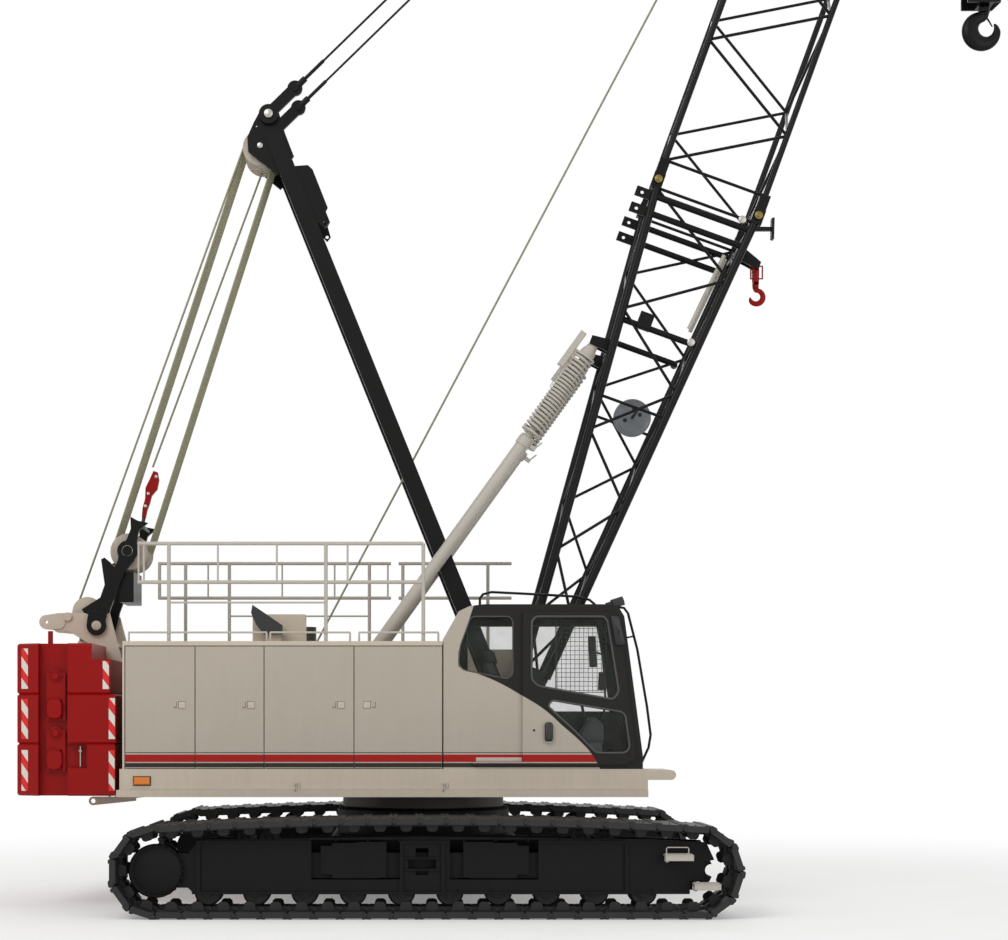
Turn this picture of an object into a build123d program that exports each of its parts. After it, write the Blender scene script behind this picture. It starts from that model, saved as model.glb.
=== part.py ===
"""Lattice-boom crawler crane: tracked undercarriage, slewing upper, boom, mast and rigging."""
import os
from math import atan2, cos, degrees, hypot, pi, radians, sin

from build123d import *

os.makedirs("parts", exist_ok=True)

# Millimetres. +X points along the boom, +Y to the machine's left, +Z up; the ground is Z = 0.
PIN_FIT = 0.3               # pins, rollers and rope grooves to what they touch
CLEARANCE = 8.0             # between pieces that move past each other

# ---------------------------------------------------------------- undercarriage sizes
SLEW_X = -1047.0            # vertical slewing axis
TRACK_GAUGE = 3966.0        # between the two tracks' centre lines
SHOE_WIDTH = 914.0
SHOE_COUNT = 51
SHOE_GAP = 20.0             # between neighbouring shoes, along the track
SHOE_NOTCH = 38.0           # depth of that gap
TRACK_THICKNESS = 105.0
WHEELBASE = 5210.0          # sprocket centre to idler centre
TRACK_RADIUS = 455.0        # outside of the track round its end wheels
TRACK_CROWN = 985.0         # top of the upper run above the ground, at mid length
WHEEL_WIDTH = 330.0
WHEEL_SHAFT = 90.0
IDLER_WINDOWS = 5
IDLER_WINDOW = 60.0         # radius of each window in the idler's web
IDLER_WINDOW_RING = 178.0   # radius of the ring that they stand on
DRIVE_COVER_RADIUS = 262.0
DRIVE_COVER_DEPTH = 55.0
ROLLER_RADIUS = 135.0
ROLLER_COUNT = 10
ROLLER_SHAFT = 45.0
ROLLER_END = 480.0          # first and last roller to the end wheels' centres
CARRIER_RADIUS = 95.0
CARRIER_WIDTH = 150.0
CARRIER_SHAFT = 26.0
CARRIER_OFFSETS = (-1750.0, -1525.0, 1525.0, 1750.0)    # from the slewing axis
FRAME_WIDTH = 440.0         # track frame, across
FRAME_WALL = 40.0
FRAME_END = 430.0           # deep part of the frame to the end wheels' centres
FRAME_LOW = 228.0
FRAME_HIGH = 785.0
FRAME_FLOOR = 378.0         # box between the side walls
YOKE_DEPTH = 330.0          # frame ends that hold the wheel shafts
RIB_WIDTH = 36.0
RIB_REACH = 26.0            # ribs and flanges stand this far out from the frame's walls
FLANGE = 24.0
AXLE_SPACING = 1330.0       # between the two carbody axle beams
AXLE_BEAM = 470.0           # axle beam, along the machine
AXLE_LOW = 380.0
AXLE_HIGH = 722.0
AXLE_FIT = 0.5              # beam to the wear faces of its pocket
AXLE_PLATE = 25.0
POCKET_DEPTH = 70.0         # wide mouth of each axle pocket, in from the wall's face
WINDOW_DEPTH = 120.0
SHELF = 12.0
STEP_LENGTH = 270.0
STEP_REACH = 190.0
STEP_HEIGHT = 60.0
STEP_SHEET = 10.0
CARBODY_HALF = 960.0        # half length and half width of the carbody
RING_RADIUS = 860.0
RING_BORE = 560.0
RING_HEIGHT = 120.0

# ---------------------------------------------------------------- upper structure sizes
DECK_LOW = 1125.0           # underside of the revolving frame
DECK_TOP = 1300.0
DECK_REAR = -4105.0
DECK_FRONT = 1197.0
DECK_HALF = 745.0           # half width of the middle bay
SIDE_FACE = 1500.0          # outer faces of the houses
BAY_HALF = 738.0            # inner faces of the houses
SKIRT_LOW = 1145.0
LEDGE_HEIGHT = 70.0
LEDGE_REACH = 28.0
TOW_EYE = (-4486.0, 1079.0)
TOW_EYE_RADIUS = 45.0
TOW_BORE = 25.0
TOW_ARM_Y = (700.0, 730.0)
HOUSE_FLOOR = 1436.0        # bottom edges of the doors
HOUSE_REAR = -4075.0
ROOF_Z = 2710.0
WALL = 40.0
ROOF_BEVEL = 18.0
DOOR_THICKNESS = 32.0
DOOR_SEAM = 10.0
DOOR_PIVOT = 10.0           # door pivot pin, in from the door's edge and outer face
DOOR_PIN = 6.0
DOOR_BACKING = 6.0          # behind a closed door
DOOR_END = 25.0             # house corner to the first door's edge
LATCH_Z = (2030.0, 2110.0)
LATCH_DEPTH = 4.0
CAB_REAR = -855.0
CAB_SIDE = 1490.0
CAB_ROOF = 3080.0
CAB_FRONT = 1147.0
CAB_WALL = 50.0
CAB_DOOR_THICKNESS = 34.0
CAB_DOOR_REAR = -62.0
CAB_DOOR_CLEARANCE = 6.0
DOOR_LAP = 40.0             # cab door over the edge of its opening
GLASS = 8.0
PANE_EDGE = 5.0             # windshield above the edge of its opening
PANE_DEPTH = 15.0           # windshield behind the cab's front face
LEFT_HOUSE_FRONT = 60.0
BRACKET = 40.0              # plates of the boom, mast and backstop brackets
RAIL = 19.0
THIN_RAIL = 10.0

# ---------------------------------------------------------------- counterweight and gantry sizes
WEIGHT_REAR = -5160.0
WEIGHT_HALF = 1480.0
WEIGHT_JOINTS = (1155.0, 1680.0, 2180.0, 2690.0)    # heights of the slabs' flat faces
WEIGHT_FRONTS = {"lower": -4150.0, "middle": -4145.0, "upper": -4205.0}
WEIGHT_BEVEL = 18.0
WEIGHT_CORNER = (150.0, 260.0)      # rear corners, along and across
WEIGHT_STEP = (180.0, 160.0)        # step in the upper slab's front edge, length and depth
WEIGHT_NOTCH = (-4560.0, 470.0)      # rear end and half width, in the upper slab
WEIGHT_RECESS = (-4925.0, -4628.0)
RECESS_DEPTH = 120.0
STRAP = (-4853.0, -4662.0)
STRAP_SHEET = 20.0
STRAP_GAP = 20.0            # recess floor to strap
STRAP_PIN = 64.0
KNOB = 55.0
LIFTING_POCKET = (-4662.0, -4432.0)
POCKET_FLOOR = 1432.0
WEIGHT_SEAT = 300.0         # width of each of the frame's seats behind the lower slab
GANTRY_FOOT = (-4497.0, 2921.0)
GANTRY_PIN = 54.0
GANTRY_HEAD = (-4177.0, 3710.0)
GANTRY_HALF = 330.0
GANTRY_PLATE = 50.0
REAR_LUG = (-5024.0, 2955.0)
REAR_LUG_RADIUS = 75.0
REAR_LUG_BORE = 18.0
BASE_PLATE = 40.0
GANTRY_SHEAVE = 175.0
SHEAVE_PITCH = 95.0
GROOVE = 30.0               # depth of a rope groove
ROPE = 11.0
SHEAVE_PIN = 45.0
DRUM_Z = 1867.0
DRUM_REAR_X = -2234.0
DRUM_PITCH = 1010.0
DRUM_RADIUS = 205.0
DRUM_FLANGE = 400.0
DRUM_HALF = 330.0
BOOM_WINCH = (-4616.0, 3070.0)
BOOM_WINCH_RADIUS = 160.0

# ---------------------------------------------------------------- boom, mast and rigging sizes
FOOT_X = -100.0             # boom foot pin, which the mast foot shares
FOOT_Z = 1816.0
FOOT_PIN = 50.0
BOOM_ANGLE = 70.0
BOOM_LENGTH = 13720.0       # foot pin to tip sheave pin
BASE_LENGTH = 5980.0
TAPER_START = 9300.0
BOOM_DEPTH = 1110.0         # between chord centre lines
BOOM_WIDTH = 1295.0
FOOT_DEPTH = 160.0
HEAD_DEPTH = 620.0
HEAD_LENGTH = 890.0         # top section's lattice to the tip sheave pin
BASE_CHORD = 45.0
TOP_CHORD = 32.0
LACING = 16.0
CROSS_TUBE = 33.0
JOINT_LUG = 150.0
JOINT_PIN = 40.0
BASE_PANELS = 8
TOP_PANELS = 10
BASE_START = 620.0          # first lacing station of the base section
TIP_SHEAVE = 290.0
TIP_FORWARD = 110.0         # tip sheave pin, ahead of the boom's centre line
TIP_PIN = 55.0
IDLER_SHEAVE = 190.0
IDLER_BELOW = 420.0         # idler sheave pin, below the tip pin and behind the boom's centre line
IDLER_BACK = 279.0
IDLER_PIN = 40.0
HEAD_HALF = 270.0
HEAD_PLATE = 30.0
EYE_AHEAD = 252.0           # pendant eye from the tip, along the boom and back from its centre line
EYE_BACK = 451.0
MAST_ANGLE = 111.95
MAST_LENGTH = 6800.0        # foot pin to the end of the legs
MAST_LEG_DEPTH = 175.0
MAST_LEG_WIDTH = 80.0
MAST_FOOT_HALF = 380.0
MAST_HEAD_HALF = 300.0
MAST_TIES = (900.0, 3700.0, 4700.0, 5600.0, 6500.0)
MAST_TIE = 50.0
MAST_SHEAVE_PIN = (-2780.0, 8014.0)
MAST_SHEAVE = 170.0
PENDANT_PIN = (-2686.0, 8336.0)
PENDANT_SHAFT = 38.0
PENDANT_TUBE = 50.0         # cross tube between the mast's head plates
PENDANT_ROPE = 12.0
PENDANT_LINK = 390.0
BACKSTOP_FOOT = (-1923.0, 2160.0)
BACKSTOP_STATION = 4130.0   # rod's eye, along the boom
BACKSTOP_OFFSET = 175.0     # rod's eye, behind the rear chords' centre lines
BACKSTOP_HALF = 482.0
BACKSTOP_TUBE = 68.0
BACKSTOP_PIN = 30.0
BACKSTOP_ROD = 42.0
BACKSTOP_EYE_RADIUS = 52.0
BACKSTOP_BAR = 32.0         # cross tube that carries the rods' ears
BACKSTOP_INSIDE = 1300.0    # rod held inside the tube
BACKSTOP_BORE = 1500.0      # blind end of the tube's bore, from its foot
SPRING_RADIUS = 112.0
SPRING_WALL = 30.0
SPRING_REACH = 1180.0
HOOK_Z = 9115.0
HOOK_RADIUS = 211.0
HOOK_THROAT = 80.0
HOOK_SHEET = 110.0
NECK_RADIUS = 60.0
BLOCK_ABOVE = 480.0         # bottom of the hook block above the hook's
BLOCK_SHEAVE = 205.0
BLOCK_PITCH = 80.0
SHACKLE = 240.0             # auxiliary hook's shackle, pin to cross bar

SIDE = Plane.XZ             # side view: X along, Z up; its normal points to -Y
RIGHT_AND_LEFT = (("right", -1), ("left", 1))
UPWARD = (Align.CENTER, Align.CENTER, Align.MIN)


def direction(angle):
    return cos(radians(angle)), sin(radians(angle))


def side_plane(foot, angle):
    """Side-view plane whose first axis runs from the foot point at the given angle."""
    run, rise = direction(angle)
    return Plane(origin=(foot[0], 0, foot[1]), x_dir=(run, 0, rise), z_dir=(0, -1, 0))


def slab(points, low_y, high_y, plane=SIDE, mode=Mode.ADD):
    """Side-view outline, extruded across the machine between two Y values."""
    with BuildSketch(plane.offset(-high_y)) as outline:
        with BuildLine():
            Polyline(*points, close=True)
        make_face()
    extrude(outline.sketch, amount=high_y - low_y, mode=mode)


def block(x, y, z, mode=Mode.ADD):
    """Box between pairs of X, Y and Z values."""
    with Locations((min(x), min(y), min(z))):
        Box(abs(x[1] - x[0]), abs(y[1] - y[0]), abs(z[1] - z[0]), align=(Align.MIN,) * 3, mode=mode)


def cross_rod(centre, low_y, high_y, radius, mode=Mode.ADD):
    """Round bar along Y through a side-view point."""
    with Locations(Location((centre[0], high_y, centre[1]), (90, 0, 0))):
        Cylinder(radius, high_y - low_y, align=UPWARD, mode=mode)


def rod(start, end, radius, mode=Mode.ADD):
    """Round bar between two points."""
    line = Vector(*end) - Vector(*start)
    with Locations(Plane(origin=start, z_dir=line)):
        Cylinder(radius, line.length, align=UPWARD, mode=mode)


def rods(pairs, radius):
    """Many round bars, to be joined in one step."""
    bars = []
    for start, end in pairs:
        with BuildPart(mode=Mode.PRIVATE) as bar:
            rod(start, end, radius)
        bars.append(bar.part)
    return bars


def link(start, end, radius, low_y, high_y, plane=SIDE, mode=Mode.ADD):
    """Flat bar with round ends between two side-view points."""
    run, rise = end[0] - start[0], end[1] - start[1]
    middle = ((start[0] + end[0]) / 2, (start[1] + end[1]) / 2)
    with BuildSketch(plane.offset(-high_y)) as outline:
        with Locations(Location((*middle, 0), (0, 0, degrees(atan2(rise, run))))):
            SlotCenterToCenter(hypot(run, rise), 2 * radius)
    extrude(outline.sketch, amount=high_y - low_y, mode=mode)


def across(pair, hand):
    """Pair of distances from the middle plane, put on the right (-1) or left (1) side, in order."""
    return sorted(hand * value for value in pair)


def around(middle, half):
    return middle - half, middle + half


def save(piece, name):
    piece.part.label = name
    export_step(piece.part, f"parts/{name}.step")


# ================================================================ undercarriage
half_base = WHEELBASE / 2
crown = TRACK_CROWN - TRACK_RADIUS
top_radius = (half_base**2 + crown**2 - TRACK_RADIUS**2) / (2 * (crown - TRACK_RADIUS))
top_lean = atan2(half_base, top_radius - crown)
link_line = TRACK_THICKNESS / 2     # the shoes are spaced along this line, inside the outer face


def track_point(travel, inset):
    """Point of the closed track run: straight foot, idler arc, crowned top, sprocket arc."""
    wheel_arc = (TRACK_RADIUS - link_line) * (pi - top_lean)
    top_arc = (top_radius - link_line) * 2 * top_lean
    total = WHEELBASE + 2 * wheel_arc + top_arc
    travel = (travel % 1.0) * total
    if travel < WHEELBASE:
        return SLEW_X - half_base + travel, inset
    travel -= WHEELBASE
    if travel < wheel_arc:
        turn, centre, radius = -pi / 2 + travel / (TRACK_RADIUS - link_line), half_base, TRACK_RADIUS
    elif travel < wheel_arc + top_arc:
        turn = pi / 2 - top_lean + (travel - wheel_arc) / (top_radius - link_line)
        reach = top_radius - inset
        return SLEW_X + reach * cos(turn), TRACK_CROWN - top_radius + reach * sin(turn)
    else:
        turn = pi / 2 + top_lean + (travel - wheel_arc - top_arc) / (TRACK_RADIUS - link_line)
        centre, radius = -half_base, TRACK_RADIUS
    reach = radius - inset
    return SLEW_X + centre + reach * cos(turn), TRACK_RADIUS + reach * sin(turn)


def top_run_z(offset):
    """Height of the upper run's inner face, at a distance from the slewing axis."""
    reach = top_radius - TRACK_THICKNESS
    return TRACK_CROWN - top_radius + (reach**2 - offset**2) ** 0.5


track_length = (WHEELBASE + 2 * (TRACK_RADIUS - link_line) * (pi - top_lean)
                + 2 * (top_radius - link_line) * top_lean)
gap_share = SHOE_GAP / track_length
track_outer, track_inner = [], []
for shoe in range(SHOE_COUNT):
    start, end = shoe / SHOE_COUNT, (shoe + 1) / SHOE_COUNT
    track_outer += [track_point(start + gap_share / 2, SHOE_NOTCH), track_point(start + gap_share / 2, 0),
                    track_point(end - gap_share / 2, 0), track_point(end - gap_share / 2, SHOE_NOTCH)]
    track_inner += [track_point(start, TRACK_THICKNESS), track_point((start + end) / 2, TRACK_THICKNESS)]

inner_radius = TRACK_RADIUS - TRACK_THICKNESS
half_step = pi / SHOE_COUNT * track_length / (2 * (TRACK_RADIUS - link_line))
wheel_radius = inner_radius * cos(half_step) - AXLE_FIT
roller_z = TRACK_THICKNESS + AXLE_FIT + ROLLER_RADIUS
sprocket_x = SLEW_X - half_base
idler_x = SLEW_X + half_base
frame_rear, frame_front = sprocket_x + FRAME_END, idler_x - FRAME_END
frame_half = FRAME_WIDTH / 2
wall_inner = frame_half - FRAME_WALL
yoke_low, yoke_high = around(TRACK_RADIUS, YOKE_DEPTH / 2)
axle_xs = around(SLEW_X, AXLE_SPACING / 2)
axle_reach = TRACK_GAUGE / 2 + frame_half - RIB_REACH

# ends of the axle beams: distance from the slewing axis, low edge and high edge
AXLE_END = ((373.0, 388.0), (650.0, 388.0), (735.0, 419.0), (1010.0, 419.0),
            (1010.0, 694.0), (735.0, 694.0), (650.0, 732.0), (373.0, 732.0))
POCKET_MOUTH = (240.0, 1100.0)      # mouth of each axle pocket, from the slewing axis
MOUTH_Z = (368.0, 756.0)

with BuildPart() as carbody:
    block(around(SLEW_X, CARBODY_HALF), around(0, CARBODY_HALF), (AXLE_LOW, AXLE_HIGH))
    with Locations((SLEW_X, 0, AXLE_HIGH)):
        Cylinder(RING_RADIUS + RING_HEIGHT / 2, DECK_LOW - RING_HEIGHT - AXLE_HIGH, align=UPWARD)
    chamfer(carbody.faces().sort_by(Axis.Z)[-1].edges(), RING_HEIGHT / 4)
    for axle_x in axle_xs:
        block(around(axle_x, AXLE_BEAM / 2), around(0, axle_reach), (AXLE_LOW, AXLE_HIGH))
    for _, hand in RIGHT_AND_LEFT:
        for end in (-1, 1):
            slab([(SLEW_X + end * offset, height) for offset, height in AXLE_END],
                 *across((axle_reach - AXLE_PLATE, axle_reach), hand))
save(carbody, "carbody")

with BuildPart() as slew_ring:
    with BuildSketch(Plane.XY.offset(DECK_LOW - RING_HEIGHT)):
        with Locations((SLEW_X, 0)):
            Circle(RING_RADIUS)
            Circle(RING_BORE, mode=Mode.SUBTRACT)
    extrude(amount=RING_HEIGHT - PIN_FIT)
save(slew_ring, "slew_ring")

wall_outline = [
    (sprocket_x, yoke_low), (frame_rear - 120, yoke_low), (frame_rear - 60, FRAME_LOW),
    (idler_x - 38, FRAME_LOW), (idler_x - 38, yoke_low + 70), (idler_x + 100, yoke_low + 70),
    (idler_x + 100, yoke_high - 80), (idler_x + 200, yoke_high - 60), (idler_x + 122, yoke_high + 110),
    (frame_front, FRAME_HIGH - 25), (SLEW_X, FRAME_HIGH), (frame_rear, FRAME_HIGH - 30),
    (frame_rear - 120, yoke_high), (sprocket_x, yoke_high)]
RIB_XS = (frame_rear - 20, SLEW_X - 232, SLEW_X + 178, frame_front - 222)
SHELF_ZS = (464.0, 577.0)
# openings of the cross-shaped window: half length, low edge, high edge
WINDOW = ((62.0, 413.0, 674.0), (135.0, 478.0, 563.0))
# climbing steps on each side frame, from the idler's centre: rear end, underside, top of the back plate
STEPS = ((-304.0, 112.0, 172.0, True), (-28.0, -190.0, -50.0, False))

for side, hand in RIGHT_AND_LEFT:
    middle = hand * TRACK_GAUGE / 2
    outer_face = TRACK_GAUGE / 2 + frame_half

    with BuildPart() as track:
        with BuildSketch(SIDE.offset(-middle - SHOE_WIDTH / 2)) as band:
            with BuildLine():
                Polyline(*track_outer, close=True)
            make_face()
            with BuildLine():
                Polyline(*track_inner, close=True)
            make_face(mode=Mode.SUBTRACT)
        extrude(band.sketch, amount=SHOE_WIDTH)
    save(track, f"track_{side}")

    with BuildPart() as track_frame:
        block((frame_rear, frame_front), around(middle, frame_half), (FRAME_FLOOR, FRAME_HIGH - FRAME_WALL))
        for low_y, high_y in ((-frame_half, -wall_inner), (wall_inner, frame_half)):
            slab(wall_outline, middle + low_y, middle + high_y)
            cross_rod((sprocket_x, TRACK_RADIUS), middle + low_y, middle + high_y, DRIVE_COVER_RADIUS - 20)
        rib_y = around(middle, frame_half + RIB_REACH)
        for rib_x in RIB_XS:
            block(around(rib_x, RIB_WIDTH / 2), rib_y, (FRAME_LOW, FRAME_HIGH - FRAME_WALL))
        block((frame_rear - 80, frame_front - 204), rib_y, (FRAME_LOW, FRAME_LOW + FLANGE))
        block((frame_rear - 20, frame_front - 204), rib_y,
              (FRAME_HIGH - FRAME_WALL - FLANGE, FRAME_HIGH - FRAME_WALL))
        block((frame_rear - 80, frame_front), around(middle, wall_inner), (FRAME_LOW - 1, FRAME_FLOOR),
              mode=Mode.SUBTRACT)
        block((frame_rear - 80, frame_front - 204), around(middle, wall_inner),
              (FRAME_HIGH - 4 * FRAME_WALL, FRAME_HIGH), mode=Mode.SUBTRACT)
        for carrier in CARRIER_OFFSETS:
            carrier_x, carrier_z = SLEW_X + carrier, top_run_z(carrier) - AXLE_FIT - CARRIER_RADIUS
            for cheek in (-1, 1):
                cheek_y = across((CARRIER_WIDTH / 2 + CLEARANCE, CARRIER_WIDTH / 2 + CLEARANCE + 22), cheek)
                slab([(carrier_x - 70, FRAME_HIGH - 5 * FRAME_WALL),
                      (carrier_x + 70, FRAME_HIGH - 5 * FRAME_WALL),
                      (carrier_x + 45, carrier_z + 45), (carrier_x - 45, carrier_z + 45)],
                     middle + cheek_y[0], middle + cheek_y[1])
                cross_rod((carrier_x, carrier_z), middle + cheek_y[0] - 1, middle + cheek_y[1] + 1,
                          CARRIER_SHAFT + PIN_FIT, mode=Mode.SUBTRACT)
        for axle_x in axle_xs:
            block(around(axle_x, AXLE_BEAM / 2 + CLEARANCE), around(middle, frame_half + RIB_REACH + 1),
                  (AXLE_LOW - AXLE_FIT, AXLE_HIGH + AXLE_FIT), mode=Mode.SUBTRACT)
        for end in (-1, 1):
            block([SLEW_X + end * reach for reach in POCKET_MOUTH],
                  across((outer_face - POCKET_DEPTH, outer_face + RIB_REACH + 1), hand), MOUTH_Z,
                  mode=Mode.SUBTRACT)
        for half_length, low_z, high_z in WINDOW:
            block(around(SLEW_X - 27, half_length), across((outer_face - WINDOW_DEPTH, outer_face + 1), hand),
                  (low_z, high_z), mode=Mode.SUBTRACT)
        for shelf_z in SHELF_ZS:
            block((RIB_XS[1], RIB_XS[2]), across((outer_face - 5, outer_face + RIB_REACH), hand),
                  around(shelf_z, SHELF / 2))
    save(track_frame, f"track_frame_{side}")

    with BuildPart() as wheels:
        for wheel_x in (sprocket_x, idler_x):
            cross_rod((wheel_x, TRACK_RADIUS), *around(middle, WHEEL_WIDTH / 2), wheel_radius)
            cross_rod((wheel_x, TRACK_RADIUS), *around(middle, wall_inner), WHEEL_SHAFT)
        for window in range(IDLER_WINDOWS):
            run, rise = direction(360 * window / IDLER_WINDOWS)
            cross_rod((idler_x + IDLER_WINDOW_RING * run, TRACK_RADIUS + IDLER_WINDOW_RING * rise),
                      *around(middle, WHEEL_WIDTH), IDLER_WINDOW, mode=Mode.SUBTRACT)
    save(wheels, f"track_wheels_{side}")

    with BuildPart() as drive_cover:
        cross_rod((sprocket_x, TRACK_RADIUS), *across((outer_face, outer_face + DRIVE_COVER_DEPTH), hand),
                  DRIVE_COVER_RADIUS)
        rim = drive_cover.edges().filter_by(GeomType.CIRCLE).sort_by(Axis.Y)[0 if hand < 0 else -1]
        chamfer(rim, DRIVE_COVER_DEPTH / 4)
    save(drive_cover, f"drive_cover_{side}")

    with BuildPart() as rollers:
        for number in range(ROLLER_COUNT):
            first, last = sprocket_x + ROLLER_END, idler_x - ROLLER_END
            centre = (first + (last - first) * number / (ROLLER_COUNT - 1), roller_z)
            cross_rod(centre, *around(middle, WHEEL_WIDTH / 2), ROLLER_RADIUS)
            cross_rod(centre, *around(middle, wall_inner), ROLLER_SHAFT)
        for carrier in CARRIER_OFFSETS:
            centre = (SLEW_X + carrier, top_run_z(carrier) - AXLE_FIT - CARRIER_RADIUS)
            cross_rod(centre, *around(middle, CARRIER_WIDTH / 2), CARRIER_RADIUS)
            cross_rod(centre, *around(middle, CARRIER_WIDTH / 2 + CLEARANCE + 22), CARRIER_SHAFT)
    save(rollers, f"rollers_{side}")

    with BuildPart() as steps:
        for rear, low, plate_top, has_grip in STEPS:
            step_x = (idler_x + rear, idler_x + rear + STEP_LENGTH)
            step_z = (TRACK_RADIUS + low, TRACK_RADIUS + low + STEP_HEIGHT)
            block(step_x, across((outer_face, outer_face + STEP_REACH), hand), step_z)
            block((step_x[0] + STEP_SHEET, step_x[1] - STEP_SHEET),
                  across((outer_face + STEP_SHEET, outer_face + STEP_REACH - STEP_SHEET), hand),
                  (step_z[0] - 1, step_z[1] - STEP_SHEET), mode=Mode.SUBTRACT)
            block(step_x, across((outer_face, outer_face + STEP_SHEET), hand),
                  (step_z[0], TRACK_RADIUS + plate_top))
            if has_grip:
                grip_y = hand * (outer_face + THIN_RAIL)
                grip = [(step_x[0] + 32, grip_y), (step_x[1] - 35, grip_y)]
                feet = [(*end, step_z[1] - STEP_SHEET / 2) for end in grip]
                tops = [(*end, step_z[1] + STEP_HEIGHT) for end in grip]
                add(rods([*zip(feet, tops), (tops[0], tops[1])], THIN_RAIL - 1))
    save(steps, f"steps_{side}")

# ================================================================ revolving frame
SKIRT_TOP = HOUSE_FLOOR - DOOR_SEAM
# hand, front end, and for each door its name, hinge edge and free edge
HOUSE_DOORS = (
    (-1, CAB_REAR - DOOR_SEAM, (
        ("right_1", HOUSE_REAR + DOOR_END, -3346.0), ("right_2", -3346.0, -2654.0),
        ("right_3", -2654.0, -1752.0), ("right_4", CAB_REAR - DOOR_SEAM, -1752.0))),
    (1, LEFT_HOUSE_FRONT, (
        ("left_1", HOUSE_REAR + DOOR_END, -3050.0), ("left_2", -3050.0, -2020.0),
        ("left_3", -990.0, -2020.0))))


def door_pin(hinge, free, hand):
    """Plan position of a door's pivot pins."""
    inward = DOOR_SEAM / 2 + DOOR_PIVOT
    return hinge + (inward if free > hinge else -inward), hand * (SIDE_FACE - DOOR_PIVOT)


mast_foot_y = (MAST_FOOT_HALF - MAST_LEG_WIDTH / 2, MAST_FOOT_HALF + MAST_LEG_WIDTH / 2)
boom_foot_y = (BOOM_WIDTH / 2 - 35, BOOM_WIDTH / 2 + 35)
bracket_ys = (mast_foot_y[0] - CLEARANCE - BRACKET, mast_foot_y[1] + CLEARANCE,
              boom_foot_y[0] - CLEARANCE - BRACKET, boom_foot_y[1] + CLEARANCE)
foot = (FOOT_X, FOOT_Z)

with BuildPart() as revolving_frame:
    block((DECK_REAR, DECK_FRONT), (-DECK_HALF, DECK_HALF), (DECK_LOW, DECK_TOP))
    for side, hand in RIGHT_AND_LEFT:
        block((DECK_REAR, DECK_FRONT), across((BAY_HALF, SIDE_FACE), hand), (SKIRT_LOW, SKIRT_TOP))
        block((WEIGHT_FRONTS["lower"], DECK_REAR), across((WEIGHT_SEAT, 2 * WEIGHT_SEAT), hand),
              (WEIGHT_JOINTS[0] + WEIGHT_SEAT / 4, DECK_TOP))
        block((DECK_REAR - LEDGE_REACH, DECK_FRONT), across((BAY_HALF, SIDE_FACE + LEDGE_REACH), hand),
              (SKIRT_LOW, SKIRT_LOW + LEDGE_HEIGHT))
        for plate_y in bracket_ys:
            low_y, high_y = across((plate_y, plate_y + BRACKET), hand)
            slab([(FOOT_X - 420, DECK_TOP), (FOOT_X + 420, DECK_TOP), (FOOT_X + 130, FOOT_Z),
                  (FOOT_X + 90, FOOT_Z + 110), (FOOT_X - 90, FOOT_Z + 110), (FOOT_X - 130, FOOT_Z)],
                 low_y, high_y)
        low_y, high_y = across((bracket_ys[0], bracket_ys[3] + BRACKET), hand)
        cross_rod(foot, low_y, high_y, FOOT_PIN)
        for ear in (-1, 1):
            ear_y = BACKSTOP_HALF + ear * (BACKSTOP_TUBE / 2 + CLEARANCE + BRACKET / 4)
            low_y, high_y = across((ear_y - BRACKET / 4, ear_y + BRACKET / 4), hand)
            slab([(BACKSTOP_FOOT[0] - 220, DECK_TOP), (BACKSTOP_FOOT[0] + 220, DECK_TOP),
                  (BACKSTOP_FOOT[0] + 70, BACKSTOP_FOOT[1] + 40),
                  (BACKSTOP_FOOT[0] - 70, BACKSTOP_FOOT[1] + 40)],
                 low_y, high_y)
        cross_rod(BACKSTOP_FOOT, *across((BACKSTOP_HALF - 52, BACKSTOP_HALF + 52), hand), BACKSTOP_PIN)
        slab([(DECK_REAR + 65, DECK_LOW + BRACKET), (DECK_REAR, DECK_LOW - 1),
              (TOW_EYE[0], TOW_EYE[1] + TOW_EYE_RADIUS),
              (TOW_EYE[0], TOW_EYE[1] - TOW_EYE_RADIUS), (DECK_REAR + 65, DECK_LOW - TOW_EYE_RADIUS)],
             *across(TOW_ARM_Y, hand))
        cross_rod(TOW_EYE, *across(TOW_ARM_Y, hand), TOW_EYE_RADIUS)
        cross_rod(TOW_EYE, *across((TOW_ARM_Y[0] - 1, TOW_ARM_Y[1] + 1), hand), TOW_BORE, mode=Mode.SUBTRACT)
    link((DECK_FRONT - 50, 1366), (1428, 1366), 50, -SIDE_FACE, -BAY_HALF)
    for hand, _, doors in HOUSE_DOORS:
        for _, hinge, free in doors:
            with Locations((*door_pin(hinge, free, hand), SKIRT_TOP)):
                Cylinder(DOOR_PIN + PIN_FIT, 80, mode=Mode.SUBTRACT)
save(revolving_frame, "revolving_frame")

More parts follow.
